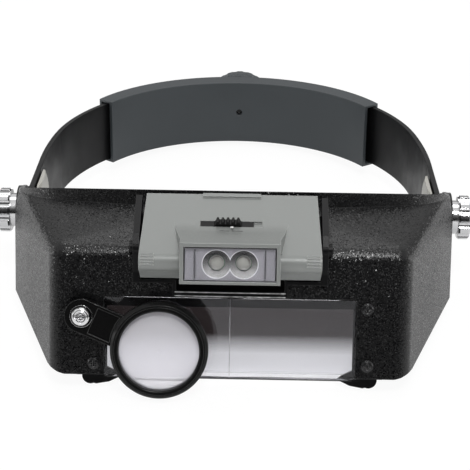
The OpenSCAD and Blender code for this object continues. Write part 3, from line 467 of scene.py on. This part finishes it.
# %% [markdown]
# ## Forehead pad: the cloth
# Cloth is matt, with a pale sheen where its fibres catch light at a low angle. Broad clouds
# keep the black from looking painted, and two bumps give the weave and its creases.

# %% Pad
cloth = Finish("pad_cloth", (0.02, 0.02, 0.022), 0.85, Sheen_Weight=0.35, Sheen_Roughness=0.4)
cloth.tint(cloth.ramp(cloth.noise(18.0, 3.0), 0.35, 0.7, 0.0, 0.7), (0.034, 0.034, 0.036))
cloth.grain(0.55, 0.6, 0.12, stretch=(1, 1, 2.2))
cloth.grain(3.0, 0.25, 0.2)
pad = piece("forehead_cushion", *pad_mesh(), BAND, "headband", "foam", cloth.done())
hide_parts("forehead_pad")

# %% [markdown]
# ## Marks by the switch: the form
# A white dot and a thin line are printed on the slope in front of the switch. Print stands
# up a few hundredths of a millimetre, so each mark is a flat dome over its outline. An image
# would be simpler, but it blurs up close, and a mesh keeps its edge at any distance.

# %% Print domes
PRINT_EDGE = 0.12
PRINT_ROOT = -0.05


def dome(outline, height, rings=3):
    """Closed outline with a low rounded top, standing on z = 0 of its frame."""
    cx = sum(p[0] for p in outline) / len(outline)
    cy = sum(p[1] for p in outline) / len(outline)
    points = [(x, y, PRINT_ROOT) for x, y in outline]
    for k in range(rings):
        a = math.pi / 2 * k / rings
        inset = PRINT_EDGE * (1 - math.cos(a))
        for x, y in outline:
            dx, dy = cx - x, cy - y
            reach = math.hypot(dx, dy)
            points.append((x + dx / reach * inset, y + dy / reach * inset, height * math.sin(a)))
    return points, skin(rings + 1, len(outline))


def stadium(x0, x1, y, r, count=8):
    """Outline of a bar with round ends."""
    turns = [math.pi * (i / count - 0.5) for i in range(count + 1)]
    right = [(x1 + r * math.cos(a), y + r * math.sin(a)) for a in turns]
    left = [(x0 - r * math.cos(a), y - r * math.sin(a)) for a in turns]
    return right + left


print("a mark's outline has", len(stadium(0, 1, 0, 1)), "points")

# %% [markdown]
# ## Marks by the switch: the print
# Printing ink is smooth and a little uneven. The marks lie in a frame of their own, which
# follows the slope of the lamp's cover.

# %% Marks
RAMP_TURN = math.degrees(math.atan2(5.19, 18.12))
RAMP_FOOT = Matrix.Translation((0, -0.07188, 0.00719))
RAMP = VISOR @ RAMP_FOOT @ Matrix.Rotation(math.radians(RAMP_TURN), 4, "X")
DOT_HEIGHT, LINE_HEIGHT = 0.16, 0.03

white_print = Finish("white_print", (0.85, 0.85, 0.84), 0.35)
white_print.grain(0.4, 0.1, 0.02)
dark_print = Finish("dark_print", (0.05, 0.05, 0.05), 0.4)
dark_print.grain(0.3, 0.1, 0.02)
white_mark, dark_mark = white_print.done(), dark_print.done()
piece("switch_dot", *dome(stadium(0.3, 0.3001, -4.7, 0.62), DOT_HEIGHT), RAMP,
      "lamp", "washer_white", white_mark)
for name, x0, x1 in (("switch_line_left", -4.2, -0.7), ("switch_line_right", 0.5, 4.2)):
    piece(name, *dome(stadium(x0, x1, -8.0, 0.16), LINE_HEIGHT), RAMP,
          "lamp", "switch_black", dark_mark)
print("marks on the lamp's slope, which falls", round(RAMP_TURN, 1), "degrees")

# %% [markdown]
# ## Thin lines: the form
# Several thin lines on the real piece are not flat: a cemented joint, ribs and a gasket.
# Two more are painted light: a black bead of painted shade under the wide lens and pale
# beads of painted highlight on the ledge. Each is a slim bar with a rounded face, laid along
# its carrier, so one helper makes them all and another turns them upright.

# %% Beads
def bead(length, width, height, steps=6):
    """Bar along x with a half-oval face towards -y, its back on y = 0, its ends drawn in."""
    full_from = width / 2 / length
    ends = ((-0.5, 0.3), (-0.5 + full_from, 1.0), (0.5 - full_from, 1.0), (0.5, 0.3))
    points = []
    for x, full in ends:
        for i in range(steps + 1):
            a = math.pi * i / steps
            across = width / 2 * full * math.cos(a)
            points.append((x * length, -height * full * math.sin(a), across))
    return points, skin(len(ends), steps + 1)


def at(x, y, z, upright=False):
    """Frame of a bead on the visor, at millimetres x, y, z."""
    place = VISOR @ Matrix.Translation(Vector((x, y, z)) / 1000)
    return place @ Matrix.Rotation(math.radians(90), 4, "Y") if upright else place


print("a bead has", len(bead(1, 1, 1)[0]), "points")

# %% [markdown]
# ## Thin lines: the wide lens
# The lens is two mouldings cemented side by side, so a grey joint runs down its middle. A
# black bead along its lower edge is painted shade.

# %% Lens joint and edge
LENS_BACK, LENS_TOP, LENS_LOW = -70.0, -21.75, -52.4
JOINT_LENGTH = LENS_TOP - LENS_LOW - 0.6
EDGE_LENGTH = 93.0

joint = Finish("cement_joint", (0.42, 0.41, 0.42), 0.5)
joint.grain(0.5, 0.2, 0.05)
joint_place = at(0, LENS_BACK + 0.3, (LENS_TOP + LENS_LOW) / 2, True)
piece("lens_joint", *bead(JOINT_LENGTH, 0.3, 0.25), joint_place,
      "visor", "lens_acrylic", joint.done())

# Painted shade: the black bead along the lens's lower edge.
edge_shade = Finish("lens_edge_painted_shade", (0.01, 0.01, 0.01), 0.6)
edge_shade.grain(0.4, 0.4, 0.05)
piece("lens_lower_edge", *bead(EDGE_LENGTH, 0.7, 0.5), at(0, -72.2, LENS_LOW - 0.3),
      "visor", "lens_acrylic", edge_shade.done())
print("joint", round(JOINT_LENGTH, 2), "mm long, edge", EDGE_LENGTH, "mm")

# %% [markdown]
# ## Thin lines: the lamp's window
# The window has a dark upright rib on each side and a dark gasket round it. Both are soft
# mouldings, slightly uneven, the ribs dark grey and the gasket black.

# %% Gasket and ribs
HOOD_X, HOOD_LOW, HOOD_TOP, HOOD_FACE = 17.0, -12.2, 0.6, -89.79
GASKET_IN = 0.35
RIB_X, RIB_FACE, RIB_MIDDLE, RIB_LENGTH = 12.9, -89.45, -5.8, 10.6

rib = Finish("window_rib", (0.11, 0.11, 0.12), 0.35)
rib.grain(0.5, 0.2, 0.04)
rib_face = rib.done()
gasket = Finish("window_gasket", (0.015, 0.015, 0.016), 0.4)
gasket.grain(0.4, 0.2, 0.04)
gasket_face = gasket.done()
hood_middle = (HOOD_LOW + HOOD_TOP) / 2
across, down = 2 * HOOD_X - 1.0, HOOD_TOP - HOOD_LOW - 1.2
for name, length, x, z, upright in (
    ("gasket_top", across, 0, HOOD_TOP - GASKET_IN, False),
    ("gasket_low", across, 0, HOOD_LOW + GASKET_IN, False),
    ("gasket_left", down, -HOOD_X + GASKET_IN, hood_middle, True),
    ("gasket_right", down, HOOD_X - GASKET_IN, hood_middle, True),
):
    piece(name, *bead(length, 0.34, 0.12), at(x, HOOD_FACE, z, upright),
          "lamp", "window_clear", gasket_face)
for side, name in ((-1, "window_rib_left"), (1, "window_rib_right")):
    piece(name, *bead(RIB_LENGTH, 0.5, 0.3), at(side * RIB_X, RIB_FACE, RIB_MIDDLE, True),
          "lamp", "window_clear", rib_face)
print("gasket", across, "by", down, "mm")

# %% [markdown]
# ## Thin lines: the ledge
# The ledge below the lamp carries two light lines, which are a painted highlight: pale,
# slightly metallic beads, with a broken noise that mixes black into them.

# %% Ledge beads
LEDGE_FACE, LEDGE_LENGTH = -76.19, 41.5

# Painted highlight: the two pale beads on the ledge.
ledge_highlight = Finish("ledge_painted_highlight", (0.8, 0.8, 0.81), 0.3, Metallic=0.3)
ledge_highlight.tint(ledge_highlight.ramp(ledge_highlight.noise(2.5, 3.0), 0.35, 0.75, 0.0, 1.0), (0.12, 0.12, 0.12))
ledge_highlight_face = ledge_highlight.done()
for z, name in ((-18.9, "ledge_bead_upper"), (-20.35, "ledge_bead_lower")):
    piece(name, *bead(LEDGE_LENGTH, 0.45, 0.22), at(0, LEDGE_FACE, z),
          "visor", "cradle_black", ledge_highlight_face)
print("ledge beads", LEDGE_LENGTH, "mm")

# %% [markdown]
# ## Visor moulding: two helpers
# The visor is injection-moulded with a spark-eroded texture, tiny craters that break a
# highlight into glitter. A bump alone only makes it look sandy. So we cut the surface into
# small cells and turn some of them as flat, smoother facets, which flash one by one. In the
# photograph the wings also grow lighter towards their rims, as bowed ones do, while the
# solid's are flat. So we turn their normal outwards, which bends the light and not the form.

# %% Facets and bow
def local(finish, frame_matrix):
    """Coordinates in one of the frames, as outputs X, Y and Z."""
    turned = finish.node("ShaderNodeMapping", finish.place, vector_type="TEXTURE",
                         Location=frame_matrix.translation, Rotation=frame_matrix.to_euler())
    return finish.node("ShaderNodeSeparateXYZ", turned.outputs[0]).outputs


def lean(finish, offset):
    """Adds an offset to the normal so far."""
    finish.normal = finish.steer("NORMALIZE", finish.steer("ADD", finish.normal, offset))


def bow(finish, fold, outer, turn_out):
    """Turns the normal more and more sideways from the fold outwards, as on a bowed wing."""
    across = finish.node("ShaderNodeSeparateXYZ", finish.place).outputs["X"]
    turn = finish.ramp(finish.reckon("ABSOLUTE", across), fold, outer, 0.0, turn_out)
    signed = finish.reckon("MULTIPLY", turn, finish.reckon("SIGN", across))
    lean(finish, finish.node("ShaderNodeCombineXYZ", signed).outputs[0])


def glitter(finish, size_mm, share, spread, rough, facet_rough):
    """Small flat facets, turned by up to spread, on this share of cells of size_mm."""
    scale = 1000.0 / size_mm
    cells = finish.node("ShaderNodeTexVoronoi", finish.place, Scale=scale).outputs["Color"]
    red = finish.node("ShaderNodeSeparateColor", cells).outputs[0]
    chosen = finish.ramp(red, 1 - share - 0.001, 1 - share, 0.0, 1.0)
    middle = finish.steer("SUBTRACT", cells, (1 - share / 2, 0.5, 0.5))
    turn = finish.reckon("MULTIPLY", chosen, spread)
    lean(finish, finish.steer("SCALE", middle, None, None, turn))
    finish.shine(finish.ramp(chosen, 0, 1, rough, facet_rough))


print("helpers:", bow.__name__, glitter.__name__)

# %% [markdown]
# ## Visor moulding: the finish
# The glitter is strong where the deck folds into the front plate and weak low on the plate,
# so the facets turn further the higher they lie. Edges are a touch lighter, from handling.

# %% Visor
BOW_FROM, BOW_TO, BOW_TURN = 0.080, 0.0965, 0.5
PLATE_LOW, PLATE_TOP = -0.040, -0.016
FACET_MM, FACET_SHARE = 0.34, 0.45

visor_finish = Finish(
    "spark_eroded_black", (0.002, 0.002, 0.0024), 0.4, Specular_IOR_Level=0.42
)
visor_finish.tint(visor_finish.round_edges(0.0005), (0.012, 0.012, 0.0125))
bow(visor_finish, BOW_FROM, BOW_TO, BOW_TURN)
visor_finish.grain(0.6, 0.5, 0.08)
height_on_plate = local(visor_finish, VISOR)["Z"]
facet_spread = visor_finish.ramp(height_on_plate, PLATE_LOW, PLATE_TOP, 0.25, 0.6)
glitter(visor_finish, FACET_MM, FACET_SHARE, facet_spread, 0.34, 0.16)
dress(visor_finish.done(), "visor_shell")

# %% [markdown]
# ## Cradle and folding frame
# The cradle of the lamp, its pins and the frame of the folding lens are smoother mouldings
# of the same black. Their edges are glossier, and a lighter tint on them is a painted
# highlight, which draws their outline against the dark visor.

# %% Cradle
cradle_finish = Finish("cradle_black", (0.003, 0.003, 0.0034), 0.4, Specular_IOR_Level=0.2)
cradle_edge = cradle_finish.round_edges()
# Painted highlight: the edges are tinted lighter.
cradle_finish.tint(cradle_edge, (0.06, 0.06, 0.06))
cradle_finish.shine(cradle_finish.ramp(cradle_edge, 0.0, 0.6, 0.4, 0.16))
cradle_finish.grain(0.5, 0.35, 0.08)
dress(cradle_finish.done(), "lamp_cradle", "lamp_pins", "flip_carrier")

# %% [markdown]
# ## Band and rear block
# The band is a bendy moulding with a smooth tool finish, the block behind the head a
# slate-grey moulding with a fine grain. Long, soft waves in the band come from its bending;
# broad clouds keep the block from looking like one flat colour. Its lighter edges are a
# painted highlight.

# %% Band and block
band_finish = Finish(
    "smooth_black_band", (0.005, 0.005, 0.0055), 0.34, Specular_IOR_Level=0.25
)
band_finish.round_edges(0.0006)
band_finish.grain(9.0, 0.15, 0.3, stretch=(1, 1, 0.3))
band_finish.grain(0.5, 0.12, 0.05)
band_finish.shine(band_finish.ramp(band_finish.noise(14.0, 3.0), 0.35, 0.65, 0.32, 0.44))
dress(band_finish.done(), "headband_strap", "adjuster_pinion")

block_finish = Finish("slate_block", (0.052, 0.06, 0.066), 0.46)
# Painted highlight: the block's edges are tinted lighter.
block_finish.tint(block_finish.round_edges(0.0006), (0.085, 0.095, 0.1))
block_clouds = block_finish.ramp(block_finish.noise(30.0, 3.0), 0.35, 0.7, 0.0, 0.5)
block_finish.tint(block_clouds, (0.045, 0.052, 0.057))
block_finish.grain(0.6, 0.3, 0.06, detail=3.0)
dress(block_finish.done(), "adjuster_inner_cover", "adjuster_outer_cover", "adjuster_knob")

# %% [markdown]
# ## Lamp housing
# The lamp is moulded in silver-grey plastic: grey pigment with a little metal flake, a soft
# sheen and a fine grain. A small share of metallic stands for the flake, and a speckled
# roughness keeps the sheen uneven. The switch is plain black with hardly any gloss.

# %% Lamp housing
lamp_finish = Finish("silver_grey_moulding", (0.245, 0.255, 0.247), 0.42, Metallic=0.1)
# Painted highlight: the edges of the cover and base are tinted lighter.
lamp_finish.tint(lamp_finish.round_edges(0.00035), (0.52, 0.53, 0.52))
lamp_finish.grain(0.5, 0.2, 0.05)
lamp_finish.shine(lamp_finish.ramp(lamp_finish.noise(0.7), 0.3, 0.7, 0.36, 0.48))
dress(lamp_finish.done(), "lamp_cover", "lamp_base")

switch_finish = Finish("switch_black", (0.006, 0.006, 0.006), 0.5, Specular_IOR_Level=0.25)
switch_finish.round_edges(0.00015)
switch_finish.grain(0.4, 0.15, 0.04)
dress(switch_finish.done(), "switch_slider")

# %% [markdown]
# ## Clear pieces: two helpers
# A lens from the solids has many small flat faces, and a clear piece shows each of them as a
# kink. The mesh of a solid stays as it is, so we work out the true normal of the ground
# sphere from the place on it, and use it wherever a point lies on that sphere. Clear pieces
# also throw too dark a shadow by default, so most of a shadow ray passes straight through.

# %% Ground faces and pale shadows
ON_SPHERE = 0.00012


def sphere_face(finish, frame_matrix, centre, radius):
    """Gives a ground face, one on each side of x = 0, the true normal of its sphere."""
    place = local(finish, frame_matrix)
    beside = finish.reckon("ABSOLUTE", place["X"])
    side = finish.reckon("SIGN", place["X"])
    offsets = [finish.reckon("SUBTRACT", value, middle)
               for value, middle in zip((beside, place["Y"], place["Z"]), centre)]
    way = finish.node("ShaderNodeCombineXYZ", *offsets).outputs[0]
    mirror = finish.node("ShaderNodeCombineXYZ", side, 1.0, 1.0).outputs[0]
    turned = finish.node("ShaderNodeMapping", finish.steer("MULTIPLY", way, mirror),
                         vector_type="VECTOR", Rotation=frame_matrix.to_euler())
    outward = finish.node("ShaderNodeVectorTransform", turned.outputs[0],
                          vector_type="NORMAL", convert_from="OBJECT", convert_to="WORLD")
    flat = add(finish.tree, "ShaderNodeNewGeometry").outputs
    facing = finish.ramp(flat["Backfacing"], 0, 1, 1, -1)
    seen = finish.steer("SCALE", outward.outputs[0], None, None, facing)
    on_face = finish.reckon("COMPARE", finish.steer("LENGTH", way), radius, ON_SPHERE)
    pick = add(finish.tree, "ShaderNodeMix", data_type="VECTOR")
    for output, key in ((on_face, "Factor"), (flat["Normal"], "A"), (seen, "B")):
        finish.link(output, pick.inputs[key])
    finish.normal = pick.outputs["Result"]


def lets_light_through(finish, share=0.85):
    """A clear piece that casts a pale shadow, as the light it bends still arrives behind it."""
    shadow = add(finish.tree, "ShaderNodeLightPath").outputs["Is Shadow Ray"]
    straight = add(finish.tree, "ShaderNodeBsdfTransparent").outputs[0]
    part = finish.reckon("MULTIPLY", shadow, share)
    both = finish.node("ShaderNodeMixShader", part, finish.face.outputs[0], straight)
    finish.link(both.outputs[0], finish.tree.nodes["Material Output"].inputs["Surface"])


print("a point counts as on the sphere within", ON_SPHERE * 1000, "mm")

# %% [markdown]
# ## Clear pieces: the lenses
# The lenses are polished acrylic, which bends light by 1.49 and has a faint cool tint. The
# upper half of the window is dark. We can't tell whether that is the pad or a reflection, so
# a grey-brown painted shade in the upper part of the folding lens stands for it.
# The loupe's lens looks even and milky there, as under a thin film, so a third of the light
# that meets it is scattered.

# %% Lenses
WIDE_CENTRE, WIDE_RADIUS = (0.023725, -0.24781, -0.037075), 0.180
FOLDING_CENTRE, FOLDING_RADIUS = (0.02295, -0.261907, -0.0376), 0.200
SHADE_LOW, SHADE_HIGH = -0.0442, -0.0370
ACRYLIC = {"IOR": 1.49}
CLEAR = {"Transmission_Weight": 1.0, "Specular_IOR_Level": 0.25}

acrylic = Finish("clear_acrylic", (0.93, 0.93, 0.96), 0.03, **ACRYLIC, **CLEAR)
sphere_face(acrylic, VISOR, WIDE_CENTRE, WIDE_RADIUS)
lets_light_through(acrylic, 0.9)
dress(acrylic.done(), "main_lens")

painted_shade_acrylic = Finish("acrylic_painted_shade", (0.95, 0.95, 0.97), 0.03, **ACRYLIC, **CLEAR)
# Painted shade: grey-brown, darker towards the top of the folding lens.
painted_shade_mask = painted_shade_acrylic.ramp(local(painted_shade_acrylic, VISOR)["Z"], SHADE_LOW, SHADE_HIGH, 0.0, 1.0)
painted_shade_acrylic.tint(painted_shade_mask, (0.035, 0.028, 0.028))
sphere_face(painted_shade_acrylic, VISOR, FOLDING_CENTRE, FOLDING_RADIUS)
lets_light_through(painted_shade_acrylic, 0.9)
dress(painted_shade_acrylic.done(), "flip_lens")

loupe_glass = Finish(
    "loupe_acrylic", (0.96, 0.95, 0.99), 0.02, Transmission_Weight=0.66, **ACRYLIC
)
loupe_glass.grain(12.0, 0.02, 0.02, detail=1.0)
lets_light_through(loupe_glass, 0.9)
dress(loupe_glass.done(), "loupe_lens")

# %% [markdown]
# ## Clear pieces: the lamp
# The lamp's window is a cheaper clear moulding, a little wavy. The LEDs are domes of epoxy,
# which look greyish when they are off, so only a quarter of the light passes through.

# %% Lamp window and LEDs
window_finish = Finish(
    "clear_window", (0.96, 0.96, 0.97), 0.04, Transmission_Weight=1.0, IOR=1.46
)
window_finish.grain(6.0, 0.05, 0.05)
lets_light_through(window_finish)
dress(window_finish.done(), "lamp_window")

led_finish = Finish("led_epoxy", (0.34, 0.34, 0.31), 0.06, Transmission_Weight=0.25, IOR=1.5)
led_finish.grain(1.5, 0.05, 0.05)
dress(led_finish.done(), "leds")

# %% [markdown]
# ## Metal: the nuts
# The nuts and the bolts are nickel-plated. Plating is never a perfect mirror: fine turning
# marks run round it and patches of wear soften what it reflects. Noise that is squeezed
# along the axis of the nuts gives the marks.

# %% Nuts
chrome = Finish("nickel_plating", (0.68, 0.68, 0.69), 0.14, Metallic=1.0)
chrome.round_edges(0.00025)
chrome.grain(0.3, 0.08, 0.02, detail=3.0, stretch=(6, 1, 1))
chrome.shine(chrome.ramp(chrome.noise(3.0, 3.0), 0.35, 0.7, 0.08, 0.22))
dress(chrome.done(), "thumb_nut_left", "thumb_nut_right", "pivot_bolts")

# %% [markdown]
# ## Metal: the loupe's screw
# This screw is larger and brighter than the others, and rings from the lathe run round its
# head and washer. A sine of the distance from its axis gives the rings, and a dark ring of
# painted shade marks the gap between head and washer.

# %% Loupe screw
LOUPE_SCREW = (-0.0555, -0.0285)
GAP_IN, GAP_OUT = 0.0033, 0.0041
GAP_BLUR = 0.0002


def far(finish, a, b, middle):
    """Distance in the plane of the values a and b from middle."""
    offsets = [finish.reckon("SUBTRACT", value, centre)
               for value, centre in zip((a, b), middle)]
    return finish.steer("LENGTH", finish.node("ShaderNodeCombineXYZ", *offsets).outputs[0])


def wave(finish, value, pitch_mm):
    """Sine of value with this pitch, for turning marks."""
    scaled = finish.ramp(value, 0, pitch_mm / 1000, 0, 2 * math.pi)
    scaled.node.clamp = False
    return finish.reckon("SINE", scaled)


turned = Finish("turned_nickel", (0.8, 0.8, 0.81), 0.16, Metallic=1.0)
turned.round_edges(0.00025)
turned_place = local(turned, VISOR)
turned_far = far(turned, turned_place["X"], turned_place["Z"], LOUPE_SCREW)
turned.bump(wave(turned, turned_far, 0.9), 0.7, 0.05)
# Painted shade: a dark ring in the gap between head and washer.
gap_begins = turned.ramp(turned_far, GAP_IN, GAP_IN + GAP_BLUR, 0.0, 1.0)
gap_ends = turned.ramp(turned_far, GAP_OUT, GAP_OUT + GAP_BLUR, 0.95, 0.0)
turned.tint(turned.reckon("MULTIPLY", gap_begins, gap_ends), (0.05, 0.05, 0.05))
dress(turned.done(), "loupe_screw", "loupe_washer")

# %% [markdown]
# ## Metal: small steel
# Nuts, pins and contacts inside are dull zinc-plated steel. The screws that show are black
# oxide: almost black and half glossy, with a painted highlight that lightens their edges.

# %% Small steel
steel = Finish("zinc_plated_steel", (0.58, 0.58, 0.57), 0.3, Metallic=1.0)
steel.round_edges(0.0002)
steel.shine(steel.ramp(steel.noise(1.5, 3.0), 0.3, 0.7, 0.24, 0.42))
dress(steel.done(), "lens_nuts", "loupe_nut", "flip_pins", "battery_contacts")

oxide = Finish("black_oxide", (0.012, 0.012, 0.013), 0.2, Metallic=0.3)
# Painted highlight: the screws' edges are tinted lighter.
oxide.tint(oxide.round_edges(0.0002), (0.3, 0.3, 0.3))
oxide.grain(0.4, 0.1, 0.03)
dress(oxide.done(), "lens_screws", "flip_screws", "knob_screw", "knob_washer")

# %% [markdown]
# ## Reflector
# The reflector is a grey tray with two silvered cups; the light lip of each cup is a painted
# highlight. A cup is light in its lower half and dark in its upper half. A pure mirror would
# depend on a room that we don't know, so these two tones are a painted reflection: they are
# part of the colour and follow the height in the cup, under a silvering that still reflects.

# %% Reflector
CUP_X, CUP_Z, CUP_R = 0.00495, -0.0059, 0.0051
CUP_TONES = 0.003
LIP_FROM, LIP_TO = 0.0001, 0.0004

silvering = Finish("reflector_silvering", (0.25, 0.245, 0.27), 0.3)
tray = local(silvering, VISOR)
beside = silvering.reckon("ABSOLUTE", tray["X"])
cup_far = far(silvering, beside, tray["Z"], (CUP_X, CUP_Z))
in_cup = silvering.ramp(cup_far, CUP_R, CUP_R + LIP_FROM, 1.0, 0.0)
# Painted reflection: light in the lower half of each cup, dark in its upper half.
cup_painted_reflection = add(silvering.tree, "ShaderNodeMix", data_type="RGBA",
               A=(0.95, 0.95, 0.97, 1), B=(0.1, 0.1, 0.115, 1))
cup_height = silvering.ramp(tray["Z"], CUP_Z - CUP_TONES, CUP_Z + CUP_TONES, 0.0, 1.0)
silvering.link(cup_height, cup_painted_reflection.inputs["Factor"])
silvering.tint(in_cup, cup_painted_reflection.outputs["Result"])
silvering.link(silvering.ramp(in_cup, 0, 1, 0.2, 0.75), silvering.face.inputs["Metallic"])

# Painted highlight: a light ring on the lip of each cup.
lip_begins = silvering.ramp(cup_far, CUP_R, CUP_R + LIP_FROM, 0.0, 1.0)
lip_ends = silvering.ramp(cup_far, CUP_R + LIP_TO / 2, CUP_R + LIP_TO, 1.0, 0.0)
silvering.tint(silvering.reckon("MULTIPLY", lip_begins, lip_ends), (0.66, 0.66, 0.68))
silvering.shine(silvering.ramp(in_cup, 0, 1, 0.4, 0.2))
silvering.grain(0.8, 0.12, 0.04)
dress(silvering.done(), "reflector")

# %% [markdown]
# ## Rim and caps
# The loupe's rim is a glossier black moulding than the visor; its edges catch the light, and a
# lighter tint on them is a painted highlight.
# The caps over the bolts are light grey, a little blotchy, so clouds of a darker grey lie
# over the colour.

# %% Rim and caps
gloss = Finish("loupe_black", (0.004, 0.004, 0.004), 0.2, Specular_IOR_Level=0.2)
gloss_edge = gloss.round_edges(0.0004)
# Painted highlight: the edges are tinted lighter.
gloss.tint(gloss_edge, (0.07, 0.07, 0.07))
gloss.shine(gloss.ramp(gloss_edge, 0.0, 0.6, 0.25, 0.1))
gloss.grain(3.0, 0.05, 0.1)
dress(gloss.done(), "loupe_arm", "loupe_retainer")

cap_finish = Finish("light_grey_cap", (0.52, 0.51, 0.47), 0.4)
cap_finish.round_edges(0.0003)
cap_clouds = cap_finish.ramp(cap_finish.noise(12.0, 3.0), 0.4, 0.7, 0.0, 0.6)
cap_finish.tint(cap_clouds, (0.44, 0.43, 0.39))
cap_finish.grain(0.6, 0.15, 0.05)
dress(cap_finish.done(), "pivot_caps")

# %% [markdown]
# ## Washers, board and cells
# These hardly show, but they are there when a joint moves or the model is opened. The
# washers are nylon, the board is green lacquer, and each cell wears a plain sleeve in two
# tones. The tones change at one place along the cell, so the colour follows that coordinate.

# %% Washers, board and cells
SLEEVE_CHANGE, SLEEVE_BLUR = -0.0101, 0.0002

nylon = Finish("nylon", (0.68, 0.67, 0.62), 0.45)
nylon.round_edges(0.0002)
nylon.grain(1.0, 0.1, 0.05)
dress(nylon.done(), "friction_washers")

board = Finish("board_lacquer", (0.02, 0.12, 0.05), 0.25)
board.grain(2.0, 0.2, 0.05)
dress(board.done(), "lamp_board")

sleeve = Finish("cell_sleeve", (0.4, 0.4, 0.42), 0.25, Metallic=0.8)
along = sleeve.node("ShaderNodeSeparateXYZ", sleeve.place).outputs["X"]
dark_end = sleeve.ramp(along, SLEEVE_CHANGE, SLEEVE_CHANGE + SLEEVE_BLUR, 1.0, 0.0)
sleeve.tint(dark_end, (0.02, 0.02, 0.022))
dress(sleeve.done(), "batteries")
